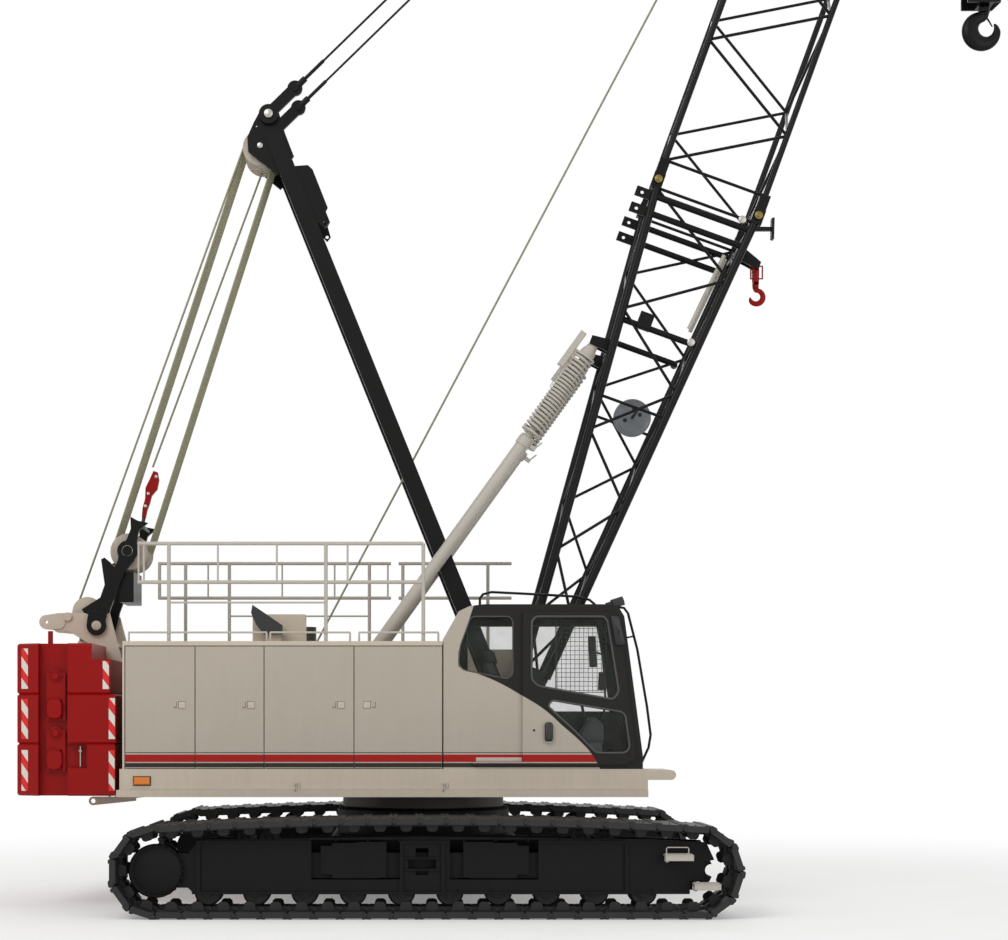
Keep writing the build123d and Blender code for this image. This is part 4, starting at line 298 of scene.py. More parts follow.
def moved(shape, matrices):
    # copies of one shape, each turned and placed by a 4x4 matrix: v' = R v + t
    verts, quads, caps = shape
    matrices = np.asarray(matrices)
    copies = np.einsum("nij,vj->nvi", matrices[:, :3, :3], verts) + matrices[:, None, :3, 3]
    steps = np.arange(len(matrices)) * len(verts)
    allQuads = (np.asarray(quads).reshape(-1, 4)[None] + steps[:, None, None]).reshape(-1, 4)
    return copies.reshape(-1, 3), allQuads, [[i + s for i in cap] for s in steps.tolist() for cap in caps]


def placed(origin, first=xAxis, third=zAxis):
    # 4x4 matrix with its first axis along first and its third near third
    first = np.asarray(first, float) / np.linalg.norm(first)
    second = np.cross(third, first)
    second /= np.linalg.norm(second)
    matrix = np.eye(4)
    matrix[:3] = np.stack([first, second, np.cross(first, second), origin], 1)
    return matrix


def sweep(path, radius, sides=12, closed=False, caps=True):
    # round tube: at each point p of the path the ring p + r (across cos a + up sin a), square to the path
    path = np.asarray(path, float)
    radius = np.broadcast_to(np.asarray(radius, float), len(path))
    if closed:
        tangent = np.roll(path, -1, 0) - np.roll(path, 1, 0)
    else:
        tangent = np.gradient(path, axis=0)
    tangent /= np.linalg.norm(tangent, axis=1)[:, None]
    guide = yAxis if np.abs(tangent @ yAxis).max() < 0.9 else zAxis
    if guide is zAxis and np.abs(tangent @ zAxis).max() > 0.9:
        guide = np.array([0.31, 0.5, 0.81])
    across = np.cross(tangent, guide)
    across /= np.linalg.norm(across, axis=1)[:, None]
    up = np.cross(tangent, across)
    turn = np.arange(sides) * 2 * pi / sides
    ring = across[:, None] * np.cos(turn)[None, :, None] + up[:, None] * np.sin(turn)[None, :, None]
    verts = (path[:, None] + ring * radius[:, None, None]).reshape(-1, 3)
    quads = gridQuads(len(path), sides, closed, True)
    ends = []
    if caps and not closed:
        ends = [list(range(sides)), list(range(len(verts) - sides, len(verts)))[::-1]]
    return verts, quads[:, ::-1], ends


def lathe(profile, centre, axis=yAxis, sides=32):
    # solid of revolution: profile rows are (radius, distance along axis), turned once round the axis
    profile = np.asarray(profile, float)
    axis = np.asarray(axis, float) / np.linalg.norm(axis)
    side = np.cross(axis, zAxis if abs(axis[2]) < 0.9 else xAxis)
    side /= np.linalg.norm(side)
    other = np.cross(axis, side)
    turn = np.arange(sides) * 2 * pi / sides
    ring = side * np.cos(turn)[:, None] + other * np.sin(turn)[:, None]
    verts = np.asarray(centre) + profile[:, None, :1] * ring[None] + profile[:, 1][:, None, None] * axis
    ends = [list(range(sides))[::-1], list(range((len(profile) - 1) * sides, len(profile) * sides))]
    return verts.reshape(-1, 3), gridQuads(len(profile), sides, False, True), ends


def plate(outline, low, high, bevel=0.0):
    # side-view outline (X, Z) between two Y values; a bevel draws the outline in at both faces, along each
    # corner's mean inward normal
    outline = np.asarray(outline, float)
    area = np.sum(outline[:, 0] * np.roll(outline[:, 1], -1) - np.roll(outline[:, 0], -1) * outline[:, 1])
    if area < 0:
        outline = outline[::-1]
    edges = (outline - np.roll(outline, 1, 0), np.roll(outline, -1, 0) - outline)
    normal = sum(np.stack([-d[:, 1], d[:, 0]], 1) / np.linalg.norm(d, axis=1)[:, None] for d in edges)
    normal /= np.maximum(np.sum(normal**2, 1) / 2, 0.4)[:, None]
    inner = outline + normal * bevel
    rows = [(outline, low), (outline, high)]
    if bevel:
        rows = [(inner, low), (outline, low + bevel), (outline, high - bevel), (inner, high)]
    verts = np.concatenate([np.stack([p[:, 0], np.full(len(p), y), p[:, 1]], 1) for p, y in rows])
    count = len(outline)
    quads = gridQuads(len(rows), count, False, True)
    return verts, quads[:, ::-1], [list(range(count)), list(range(len(verts) - count, len(verts)))[::-1]]


def roundBox(x, y, z, bevel=0.004):
    # box between two X, two Y and two Z values
    return plate([(x[0], z[0]), (x[1], z[0]), (x[1], z[1]), (x[0], z[1])], y[0], y[1], bevel)


def boxOutline(x, z, corner, steps=3):
    # rectangle in X and Z whose corners are quarter circles
    points = []
    for cx, cz, start in ((x[1] - corner, z[1] - corner, 0), (x[0] + corner, z[1] - corner, 90),
                          (x[0] + corner, z[0] + corner, 180), (x[1] - corner, z[0] + corner, 270)):
        turn = np.radians(start + np.linspace(0, 90, steps + 1))
        points += list(zip(cx + corner * np.cos(turn), cz + corner * np.sin(turn)))
    return points


def rounded(points, corner, steps=5):
    # closed X, Z outline, each corner cut by a quadratic curve that starts and ends corner metres from it
    points = np.asarray(points, float)
    before, after = np.roll(points, 1, 0), np.roll(points, -1, 0)
    rows = []
    for point, last, following in zip(points, before, after):
        reach = min(corner, np.linalg.norm(last - point) * 0.45, np.linalg.norm(following - point) * 0.45)
        start = point + (last - point) / np.linalg.norm(last - point) * reach
        end = point + (following - point) / np.linalg.norm(following - point) * reach
        t = np.linspace(0, 1, steps)[:, None]
        rows.append(start * (1 - t)**2 + 2 * point * t * (1 - t) + end * t**2)
    return np.concatenate(rows)


def headDisc(x, z, y, hand, radius, height=0.010):
    # turned end of a pin: a low disc with a rounded rim
    profile = [(0.001, height), (radius - 0.004, height), (radius, height - 0.003), (radius, 0.0)]
    return lathe(profile, (x, y, z), (0, hand, 0), 28)


def piece(name, shape, material, body, smooth=40.0):
    verts, quads, caps = shape
    mesh = bpy.data.meshes.new(name)
    faces = np.asarray(quads).tolist() + [list(cap) for cap in caps]
    mesh.from_pydata(np.asarray(verts).tolist(), [], faces)
    mesh.validate()
    mesh.materials.append(material)
    if smooth:
        mesh.shade_smooth()
        mesh.set_sharp_from_angle(angle=radians(smooth))
    obj = bpy.data.objects.new(name, mesh)
    bpy.context.scene.collection.objects.link(obj)
    if body:
        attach(obj, body)
    return obj


def ropePiece(name, runs, radius, material, body=None, sides=8):
    # each run is a list of points; U goes round the rope and V along it in metres
    shapes, lengths = [], []
    for run in runs:
        run = np.asarray(run, float)
        shapes.append(sweep(run, radius, sides))
        steps = np.concatenate([[0], np.cumsum(np.linalg.norm(np.diff(run, axis=0), axis=1))])
        lengths.append(np.repeat(steps, sides))
    obj = piece(name, joined(shapes), material, body, 60.0)
    along = np.concatenate(lengths)
    around = np.tile(np.arange(sides) / sides, len(along) // sides)
    mesh = obj.data
    loopVerts = np.empty(len(mesh.loops), int)
    mesh.loops.foreach_get("vertex_index", loopVerts)
    totals = np.empty(len(mesh.polygons), int)
    mesh.polygons.foreach_get("loop_total", totals)
    faceOf = np.repeat(np.arange(len(totals)), totals)
    u = around[loopVerts]
    highest = np.zeros(len(totals))
    np.maximum.at(highest, faceOf, u)
    u = np.where((u == 0) & (highest[faceOf] > 0.6), 1.0, u)   # the last face round ends at 1, not at 0
    layer = mesh.uv_layers.new(name="UVMap")
    layer.data.foreach_set("uv", np.stack([u, along[loopVerts]], 1).ravel())
    return obj


# tracks
trackSpec = dict(shoes=51, outer=0.455, thickness=0.105, halfWidth=0.455)


def trackLine(node, travel, inward):
    # closed run seen from the side: straight foot, idler arc, crowned top, sprocket arc; travel runs 0 to 1
    low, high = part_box(node)
    radius, crownZ = trackSpec["outer"], high[2] + 0.00003
    middle, half = (low[0] + high[0]) / 2, (high[0] - low[0]) / 2 - radius
    crown = crownZ - radius
    topRadius = (half**2 + crown**2 - radius**2) / (2 * (crown - radius))
    lean = atan2(half, topRadius - crown)
    line = trackSpec["thickness"] / 2
    wheelArc, topArc = (radius - line) * (pi - lean), (topRadius - line) * 2 * lean
    total = 2 * half + 2 * wheelArc + topArc
    s = (np.asarray(travel) % 1.0) * total
    s1, s2, s3 = s - 2 * half, s - 2 * half - wheelArc, s - 2 * half - wheelArc - topArc
    angle = np.where(s1 < 0, -pi / 2, np.where(s2 < 0, -pi / 2 + s1 / (radius - line), np.where(
        s3 < 0, pi / 2 - lean + s2 / (topRadius - line), pi / 2 + lean + s3 / (radius - line))))
    reach = np.where((s2 >= 0) & (s3 < 0), topRadius, radius) - inward
    centreX = np.where(s1 < 0, -half + s, np.where(s2 < 0, half, np.where(s3 < 0, 0.0, -half)))
    centreZ = np.where((s2 >= 0) & (s3 < 0), crownZ - topRadius, radius)
    x = middle + centreX + np.where(s1 < 0, 0.0, reach * np.cos(angle))
    z = centreZ + np.where(s1 < 0, -reach, reach * np.sin(angle))
    return x, z, angle, total


# a shoe's own sizes: Z is outwards from its inner face, Y across the track
shoeSpec = dict(top=0.104, web=0.092, bottom=0.030, middle=0.066, gap=0.003, narrow=0.965,
                links=((0.085, 0.125, -0.012), (0.128, 0.163, 0.012)),   # near Y, far Y, shift in X
                lug=[(-0.070, 0.046), (-0.052, -0.030), (-0.030, -0.048), (0.030, -0.048), (0.052, -0.030),
                     (0.070, 0.046)], lugYs=(0.192, 0.222), pinZ=0.028, rodZ=0.076)


def shoeShape(pitch):
    # one cast shoe: a plate with two low grousers, its outline scaled down towards both ends, on link bosses
    # joined by pins
    h, w, gap = pitch / 2, trackSpec["halfWidth"], shoeSpec["gap"]
    top, web, bottom = shoeSpec["top"], shoeSpec["web"], shoeSpec["bottom"]
    outline = np.array([(-h + gap, bottom + 0.010), (-h + gap, top - 0.010), (-h + 0.012, top),
                        (-h + 0.034, top), (-h + 0.048, web), (h - 0.048, web), (h - 0.034, top),
                        (h - 0.012, top), (h - gap, top - 0.010), (h - gap, bottom + 0.010),
                        (h - 0.014, bottom), (-h + 0.014, bottom)])
    stations = np.array([-w, -w + 0.012, -w + 0.055, -w + 0.075, w - 0.075, w - 0.055, w - 0.012, w])
    scale = np.array([shoeSpec["narrow"], 0.99, 1.0, 1.0, 1.0, 1.0, 0.99, shoeSpec["narrow"]])
    centre = np.array([0.0, shoeSpec["middle"]])
    rings = (outline[None] - centre) * scale[:, None, None] + centre
    rings[:, :, 1] = np.minimum(rings[:, :, 1], top)
    count = len(outline)
    across = np.repeat(stations[:, None], count, 1)
    verts = np.stack([rings[:, :, 0], across, rings[:, :, 1]], -1).reshape(-1, 3)
    ends = [list(range(count))[::-1], list(range(len(verts) - count, len(verts)))]
    parts = [(verts, gridQuads(len(stations), count, False, True), ends)]
    for side in (-1, 1):
        for near, far, shift in shoeSpec["links"]:
            boss = boxOutline((-h + 0.002 + shift, h - 0.002 + shift), (0.001, 0.046), 0.016)
            parts.append(plate(boss, *sideYs(side, near, far), 0.003))
        parts.append(plate(shoeSpec["lug"], *sideYs(side, *shoeSpec["lugYs"]), 0.004))
        parts.append(lathe([(0.0005, -0.014), (0.016, -0.014), (0.019, -0.010), (0.019, 0.0)],
                           (h - 0.01, side * (w - 0.001), 0.060), (0, -side, 0), 10))
        parts.append(lathe([(0.012, 0.0), (0.012, 0.05)], (0, side * (w - 0.10), top - 0.055), zAxis, 6))
    parts.append(lathe([(0.020, -0.185), (0.020, 0.185)], (h, 0, shoeSpec["pinZ"]), yAxis, 12))
    reach = w - 0.004
    parts.append(lathe([(0.0005, -reach), (0.025, -reach), (0.025, reach), (0.0005, reach)],
                       (h, 0, shoeSpec["rodZ"]), yAxis, 10))
    return joined(parts)


for side, hand in bothSides:
    node = f"track_{side}"
    low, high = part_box(node)
    number = (np.arange(trackSpec["shoes"]) + 0.5) / trackSpec["shoes"]
    x, z, angle, total = trackLine(node, number, trackSpec["thickness"])
    matrices = [placed((px, (low[1] + high[1]) / 2, pz), (-sin(a), 0, cos(a)), (cos(a), 0, sin(a)))
                for px, pz, a in zip(x, z, angle)]
    shoes = moved(shoeShape(total / trackSpec["shoes"]), matrices)
    shoes[0][:, 2] = np.maximum(shoes[0][:, 2], 0.0005)   # the foot's grousers stand on the ground
    obj = piece(f"trackShoes_{side}", shoes, shoeSteel, f"side_frame_{side}", 35.0)
    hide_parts(node)
print("tracks")

# running gear
rollerSpec = dict(radius=0.1345, half=0.158, hub=0.066, z=0.2405, count=10, endGap=0.480, axle=(0.044, 0.179))
carrierSpec = dict(offsets=(-1.750, -1.525, 1.525, 1.750), below=0.0955, outerDrop=0.008, radius=0.094,
                   half=0.074)
frameBoltSpec = dict(faceY=2.203, ring=0.246, ringBolts=24, rowZ=0.752, pinZ=0.262, pinGap=0.07)
stepSpec = dict(treads=((1.262, 1.535, 0.618, 0.560), (1.540, 1.798, 0.338, 0.280)),   # X, X, top, lip
                hoop=[(1.272, 0.612), (1.272, 0.680), (1.284, 0.691), (1.474, 0.691), (1.486, 0.680),
                      (1.486, 0.612)], hoopRadius=0.0055)


def rollerShape(centre, radius, half, hub):
    # double-flanged roller: rim, sunk tread between flanges, and a stepped end with its cap; its profile is
    # worked out for one half and turned over for the other
    profile = [(0.001, half + 0.012), (hub * 0.55, half + 0.012), (hub * 0.62, half), (hub, half - 0.004),
               (hub, half - 0.012), (radius - 0.018, half - 0.014), (radius, half - 0.030),
               (radius, half - 0.060), (radius - 0.016, half - 0.070)]
    return lathe([(r, -y) for r, y in profile] + profile[::-1], centre, yAxis, 28)


def frameBolts(hand, sprocketX, rollerXs):
    # bolted ring and cover of the sprocket, two bolts a roller and the row along the side frame's outer face
    face, wheelZ = hand * frameBoltSpec["faceY"], trackSpec["outer"]
    turn = np.linspace(0, 2 * pi, frameBoltSpec["ringBolts"], endpoint=False)
    ring = frameBoltSpec["ring"]
    spots = [(sprocketX + ring * cos(a), face + hand * 0.053, wheelZ + ring * sin(a)) for a in turn]
    spots += [(x + dx, face - hand * 0.002, frameBoltSpec["pinZ"]) for x in rollerXs
              for dx in (-frameBoltSpec["pinGap"], frameBoltSpec["pinGap"])]
    spots += [(x, face + hand * 0.024, frameBoltSpec["rowZ"]) for x in np.arange(-3.15, 0.9, 0.31)]
    bolt = lathe([(0.0005, 0.014), (0.011, 0.014), (0.013, 0.010), (0.013, 0.0)], (0, 0, 0), (0, hand, 0), 6)
    cover = lathe([(0.228, 0.0), (0.228, 0.012), (0.218, 0.018), (0.030, 0.020), (0.001, 0.020)],
                  (sprocketX, face + hand * 0.050, wheelZ), (0, hand, 0), 40)
    return joined([moved(bolt, [placed(spot) for spot in spots]), cover])


def stepTreads(hand, inner, outer):
    # two boarding steps, each a folded tread with five ribs, a lip and a foot, and a grab hoop over the upper
    parts = []
    for x0, x1, top, lip in stepSpec["treads"]:
        parts.append(roundBox((x0, x1), sideYs(hand, inner, outer), (top - 0.012, top), 0.003))
        parts.append(roundBox((x0, x1), sideYs(hand, outer - 0.010, outer), (lip, top - 0.012), 0.003))
        for y in np.linspace(inner + 0.02, outer - 0.02, 5):
            ribYs = sideYs(hand, y - 0.006, y + 0.006)
            parts.append(roundBox((x0 + 0.01, x1 - 0.01), ribYs, (top, top + 0.008), 0.002))
        foot = [(x0 + 0.01, top - 0.012), (x0 + 0.05, top - 0.012), (x0 + 0.03, lip - 0.014),
                (x0 + 0.01, lip - 0.014)]
        parts.append(plate(foot, *sideYs(hand, inner, outer - 0.02), 0.002))
    hoopY = hand * (outer - 0.012)
    parts.append(sweep([(x, hoopY, z) for x, z in stepSpec["hoop"]], stepSpec["hoopRadius"], 8))
    return joined(parts)


for side, hand in bothSides:
    trackLow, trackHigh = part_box(f"track_{side}")
    middleY = (trackLow[1] + trackHigh[1]) / 2
    sprocketX, idlerX = trackLow[0] + trackSpec["outer"], trackHigh[0] - trackSpec["outer"]
    endGap = rollerSpec["endGap"]
    rollerXs = np.linspace(sprocketX + endGap, idlerX - endGap, rollerSpec["count"])
    axleRadius, axleHalf = rollerSpec["axle"]
    rollers = []
    for rollerX in rollerXs:
        centre = (rollerX, middleY, rollerSpec["z"])
        rollers.append(rollerShape(centre, rollerSpec["radius"], rollerSpec["half"], rollerSpec["hub"]))
        rollers.append(lathe([(axleRadius, -axleHalf), (axleRadius, axleHalf)], centre, yAxis, 16))
    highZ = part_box(f"rollers_{side}")[1][2]
    radius, half = carrierSpec["radius"], carrierSpec["half"]
    for offset in carrierSpec["offsets"]:
        drop = carrierSpec["outerDrop"] if abs(offset) > 1.6 else 0.0
        centre = ((sprocketX + idlerX) / 2 + offset, middleY, highZ - carrierSpec["below"] - drop)
        rollers.append(lathe([(0.001, -half), (radius - 0.024, -half), (radius, 0.012 - half),
                              (radius, half - 0.012), (radius - 0.024, half), (0.001, half)],
                             centre, yAxis, 24))
        rollers.append(lathe([(0.025, -half - 0.030), (0.025, half + 0.030)], centre, yAxis, 12))
    obj = piece(f"trackRollers_{side}", joined(rollers), shoeSteel, f"side_frame_{side}", 35.0)
    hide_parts(f"rollers_{side}")
    bolts = frameBolts(hand, sprocketX, rollerXs)
    piece(f"frameBolts_{side}", bolts, chassisPaint, f"side_frame_{side}", 35.0)
    lowStep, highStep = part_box(f"steps_{side}")
    inner, outer = sorted((abs(lowStep[1]), abs(highStep[1])))
    obj = piece(f"stepTreads_{side}", stepTreads(hand, inner, outer), silverPaint, f"side_frame_{side}")
    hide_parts(f"steps_{side}")
print("running gear")

# ropes; a sheave is its X, Z and the radius to the rope's middle line
ropeSpec = dict(radius=0.011, gantry=(-4.177, 3.710, 0.175), mast=(-2.780, 8.014, 0.170), bottom=6, top=5,
                pitch=0.095, winch=(-4.616, 3.070, 0.150), drum=(-2.234, 1.867, 0.380),
                tip=(4.187, 14.409, 0.190), socket=(-3.955, 4.640))
woundSpec = dict(drumXs=(-2.234, -1.224), drumZ=1.867, drumHalf=0.315, drumReach=0.368, drumRope=0.0125,
                 core=(0.362, 0.325), winchHalf=0.235, winchReach=0.142)


def tangentPoints(first, second, sideA, sideB):
    # straight line that touches two sheaves; side +1 is a circle's left as seen along the line
    # its normal is left * sqrt(1 - k^2) + along * k, where k = (radius A - radius B) / distance
    a, b = np.array(first[:2]), np.array(second[:2])
    ra, rb = first[2] * sideA, second[2] * sideB
    span = b - a
    length = np.linalg.norm(span)
    along = span / length
    left = np.array([-along[1], along[0]])
    lean = (ra - rb) / length
    normal = along * lean + left * np.sqrt(1 - lean**2)
    return a + normal * ra, b + normal * rb


def wrap(centre, y, start, end, steps=18):
    # rope round a sheave at one Y, from one side-view point to another the long way round
    a0 = atan2(start[1] - centre[1], start[0] - centre[0])
    a1 = atan2(end[1] - centre[1], end[0] - centre[0])
    if abs(a1 - a0) < pi:
        a1 += 2 * pi if a1 < a0 else -2 * pi
    angle = a0 + (a1 - a0) * np.linspace(0, 1, steps)
    x, z = centre[0] + centre[2] * np.cos(angle), centre[1] + centre[2] * np.sin(angle)
    return np.stack([x, np.full(steps, y), z], 1)


def woundRope(centre, half, reach, ropeRadius):
    # helix on a drum: X and Z turn round the centre while Y moves one rope's width a turn
    turns = int(2 * half / (2 * ropeRadius + 0.001))
    t = np.linspace(0, 1, turns * 18 + 1)
    angle = t * turns * 2 * pi
    x, z = centre[0] + reach * np.cos(angle), centre[1] + reach * np.sin(angle)
    return np.stack([x, -half + 2 * half * t, z], 1)


ropeRadius, gantryHead, mastHead = ropeSpec["radius"], ropeSpec["gantry"], ropeSpec["mast"]
bottomYs = ropeSpec["pitch"] * (np.arange(ropeSpec["bottom"]) - (ropeSpec["bottom"] - 1) / 2)
topYs = ropeSpec["pitch"] * (np.arange(ropeSpec["top"]) - (ropeSpec["top"] - 1) / 2)
leftLow, leftHigh = tangentPoints(gantryHead, mastHead, 1, 1)
rightLow, rightHigh = tangentPoints(gantryHead, mastHead, -1, -1)
runs = []
for k in range(ropeSpec["top"]):
    runs.append([(leftLow[0], bottomYs[k], leftLow[1]), (leftHigh[0], topYs[k], leftHigh[1])])
    runs.append([(rightLow[0], bottomYs[k + 1], rightLow[1]), (rightHigh[0], topYs[k], rightHigh[1])])
reeving = ropePiece("hoistReeving", runs, ropeRadius, ropeSteel)
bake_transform(reeving)
lowWraps = [wrap(gantryHead, y, leftLow, rightLow) for y in bottomYs[1:-1]]
ropePiece("gantryWraps", lowWraps, ropeRadius, ropeSteel, "upper")
highWraps = [wrap(mastHead, y, rightHigh, leftHigh) for y in topYs]
ropePiece("mastWraps", highWraps, ropeRadius, ropeSteel, "mast")

# winch line, and the dead end that runs down to the red socket
winchLow, winchHigh = tangentPoints(ropeSpec["winch"], mastHead, 1, 1)
socketX, socketZ = ropeSpec["socket"]
for name, start, end in (
        ("winchLine", (winchLow[0], -0.10, winchLow[1]), (winchHigh[0], topYs[0] - 0.03, winchHigh[1])),
        ("deadEndLine", (socketX, 0.0, socketZ), (mastHead[0], 0.02, mastHead[1] - 0.20))):
    line = ropePiece(name, [[start, end]], ropeRadius, ropeSteel)
    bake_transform(line)

# main hoist line, from the full rear drum over the house to the boom head
drumPoint, tipPoint = tangentPoints(ropeSpec["drum"], ropeSpec["tip"], 1, 1)
start, end = (drumPoint[0], 0.0, drumPoint[1]), (tipPoint[0], 0.0, tipPoint[1])
hoistLine = ropePiece("hoistLine", [[start, end]], ropeRadius, ropeSteel)
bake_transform(hoistLine)

drumCentres = [(drumX, woundSpec["drumZ"]) for drumX in woundSpec["drumXs"]]
drumRopes = [woundRope(centre, woundSpec["drumHalf"], woundSpec["drumReach"], woundSpec["drumRope"])
             for centre in drumCentres]
ropePiece("drumRopes", drumRopes, woundSpec["drumRope"], ropeSteel, "upper", 6)
coreRadius, coreHalf = woundSpec["core"]
core = [(coreRadius, -coreHalf), (coreRadius, coreHalf)]
drumCores = [lathe(core, (x, 0, z), yAxis, 40) for x, z in drumCentres]
piece("drumRopeCores", joined(drumCores), ropeSteel, "upper")
winchRope = woundRope(ropeSpec["winch"], woundSpec["winchHalf"], woundSpec["winchReach"], ropeRadius)
ropePiece("winchRopes", [winchRope], ropeRadius, ropeSteel, "upper", 6)
print("ropes")

# boom backstops: places along each one are measured from its foot pin
backstopSpec = dict(foot=(-1.923, 2.160), eye=(0.7647, 5.8963), rod=0.042, inside=1.300, above=1.240,
                    spring=0.112, wire=0.0165, turns=21, low=0.060, high=0.180)
switchSpec = dict(half=(0.215, 0.040, 0.034), back=0.205, off=0.12, railBack=(0.66, 0.36), railRadius=0.005)


def backstopSpring(foot, eye, axis, normal, length, tubeEnd):
    # rod, spring and its two seats, the cone above them and the eye
    # the spring's wire: foot + axis s + reach (normal cos a + Y sin a), its turns about a tenth farther apart
    # at the ends and a tenth closer in the middle
    spring, wire, rod = backstopSpec["spring"], backstopSpec["wire"], backstopSpec["rod"]
    start, end = tubeEnd + backstopSpec["low"], length - backstopSpec["high"]
    inner = tubeEnd - backstopSpec["inside"]
    t = np.linspace(0, 1, backstopSpec["turns"] * 16 + 1)
    turn = t * backstopSpec["turns"] * 2 * pi
    place = start + 0.03 + wire + (end - start - 0.06 - 2 * wire) * (t + 0.016 * np.sin(2 * pi * t))
    ring = (spring - wire) * (normal * np.cos(turn)[:, None] + yAxis * np.sin(turn)[:, None])
    parts = [sweep(foot + axis * place[:, None] + ring, wire, 10),
             lathe([(0.001, inner), (rod, inner + 0.002), (rod, length - 0.06), (0.030, length - 0.045),
                    (0.001, length - 0.044)], foot, axis, 24)]
    for seat in (start, end - 0.028):
        parts.append(lathe([(0.001, seat), (spring - 0.006, seat), (spring, seat + 0.004),
                            (spring, seat + 0.024), (spring - 0.006, seat + 0.028), (0.001, seat + 0.028)],
                           foot, axis, 32))
    parts.append(lathe([(0.086, end), (0.080, end + 0.05), (0.060, end + 0.10), (0.050, end + 0.16),
                        (0.001, end + 0.161)], foot, axis, 28))
    parts.append(lathe([(0.001, -0.0395), (0.050, -0.0395), (0.052, -0.037), (0.052, 0.037), (0.050, 0.0395),
                        (0.001, 0.0395)], eye, yAxis, 24))
    return joined(parts)


def backstopSwitch(foot, axis, normal, length):
    # stop-switch box beside the spring, with the thin rod that trips it and a bracket
    halfX, halfY, halfZ = switchSpec["half"]
    off = switchSpec["off"]
    box = roundBox((-halfX, halfX), (-halfY, halfY), (-halfZ, halfZ), 0.005)
    centre = foot + axis * (length - switchSpec["back"]) + normal * (off + halfZ + 0.008)
    low, high = (foot + axis * (length - back) for back in switchSpec["railBack"])
    bracket = roundBox((-0.03, 0.03), (-0.02, 0.02), (0.0, 0.09), 0.003)
    return joined([moved(box, [placed(centre, axis, -normal)]),
                   sweep([low + normal * off, high + normal * (off + 0.014)], switchSpec["railRadius"], 8),
                   moved(bracket, [placed(centre - normal * 0.01 - axis * 0.10, axis, -normal)])])


def backstopCollar(foot, axis, normal, tubeEnd):
    # collar, grease pipe clip and pipe at the mouth of the tube
    mouth = foot + axis * (tubeEnd - 0.05)
    clip = roundBox((-0.02, 0.02), (-0.03, 0.03), (0.0, 0.07), 0.003)
    return joined([lathe([(0.069, tubeEnd - 0.10), (0.080, tubeEnd - 0.096), (0.080, tubeEnd - 0.004),
                          (0.069, tubeEnd)], foot, axis, 32),
                   moved(clip, [placed(mouth - normal * 0.075, axis, -normal)]),
                   sweep([mouth - normal * 0.13, mouth + axis * 0.10 - normal * 0.16], 0.008, 8)])


for side, hand in bothSides:
    low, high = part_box(f"backstop_rod_{side}")
    middle = (low[1] + high[1]) / 2
    foot, eye = (np.array([x, middle, z]) for x, z in (backstopSpec["foot"], backstopSpec["eye"]))
    length = np.linalg.norm(eye - foot)
    axis = (eye - foot) / length
    normal = np.cross(axis, yAxis)
    tubeEnd = length - backstopSpec["above"]
    shape = backstopSpring(foot, eye, axis, normal, length, tubeEnd)
    obj = piece(f"backstopSpring_{side}", shape, silverPaint, f"backstop_rod_{side}", 50.0)
    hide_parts(f"backstop_rod_{side}")
    shape = backstopSwitch(foot, axis, normal, length)
    piece(f"backstopSwitch_{side}", shape, silverPaint, f"backstop_rod_{side}")
    shape = backstopCollar(foot, axis, normal, tubeEnd)
    piece(f"backstopCollar_{side}", shape, silverPaint, f"backstop_tube_{side}")
    pinProfile = [(0.001, 0.010), (0.030, 0.010), (0.034, 0.006), (0.034, 0.0)]
    pinEnds = [lathe(pinProfile, foot + yAxis * way * 0.095, (0, way, 0), 20) for way in (-1, 1)]
    piece(f"backstopPins_{side}", joined(pinEnds), pinSteel, "upper")
print("backstops")

# hooks: throat and outer are circles (X, Z, radius), the shank's rows X, Z and half its width
hookSpec = dict(
    main=dict(throat=(5.004, 9.353, 0.080), outer=(4.952, 9.326, 0.210), flat=0.60, turns=(112, 392),
              shank=[(4.9859, 9.5935, 0.058), (4.9859, 9.545, 0.058), (4.975, 9.495, 0.066)]),
    aux=dict(throat=(2.530, 6.472, 0.046), outer=(2.5364, 6.4682, 0.099), flat=0.62, turns=(100, -175),
             shank=[(2.5264, 6.585, 0.022), (2.5264, 6.570, 0.026), (2.533, 6.555, 0.030)]),
    nut=(4.9859, 9.521), latch=[(4.993, 0, 9.500), (5.035, 0, 9.440), (5.072, 0, 9.378)],
    latchPin=(4.990, 9.505), auxX=2.5264, auxNutZ=6.560, yoke=(6.600, 6.628),
    shackle=[(2.475, 0, 6.668), (2.475, 0, 6.802), (2.600, 0, 6.802), (2.600, 0, 6.668)], shackleRadius=0.011)


def hookShape(spec):
    # forged hook: along rays from the throat's centre, far = distance to the outer circle and half = half the
    # gap between the two circles, tapered to the tip; the middle line lies between them, with an oval section
    # half deep each way, and shank and hook are smoothed into each other with weights 1, 2, 1
    throat, outer = np.array(spec["throat"]), np.array(spec["outer"])
    turn = np.radians(np.linspace(*spec["turns"], 46))
    ray = np.stack([np.cos(turn), np.sin(turn)], 1)
    gap = throat[:2] - outer[:2]
    along = ray @ gap
    far = -along + np.sqrt(along**2 - gap @ gap + outer[2]**2)
    share = np.linspace(0, 1, len(turn))
    taper = np.clip((1 - share) / 0.16, 0.0, 1.0) ** 0.6 * 0.82 + 0.18
    half = (far - throat[2]) / 2 * taper
    middle = throat[:2] + ray * (throat[2] + half + (far - throat[2] - 2 * half) * 0.25)[:, None]
    shank = np.array(spec["shank"])
    path = np.concatenate([shank[:, :2], middle])
    radius = np.concatenate([shank[:, 2], half])
    weights = np.array([0.25, 0.5, 0.25])
    radius[1:-1] = np.convolve(radius, weights, "valid")
    path[1:-1] = np.stack([np.convolve(path[:, k], weights, "valid") for k in (0, 1)], 1)
    verts, quads, caps = sweep(np.stack([path[:, 0], 0 * path[:, 0], path[:, 1]], 1), radius, 20)
    return verts * [1, spec["flat"], 1], quads, caps


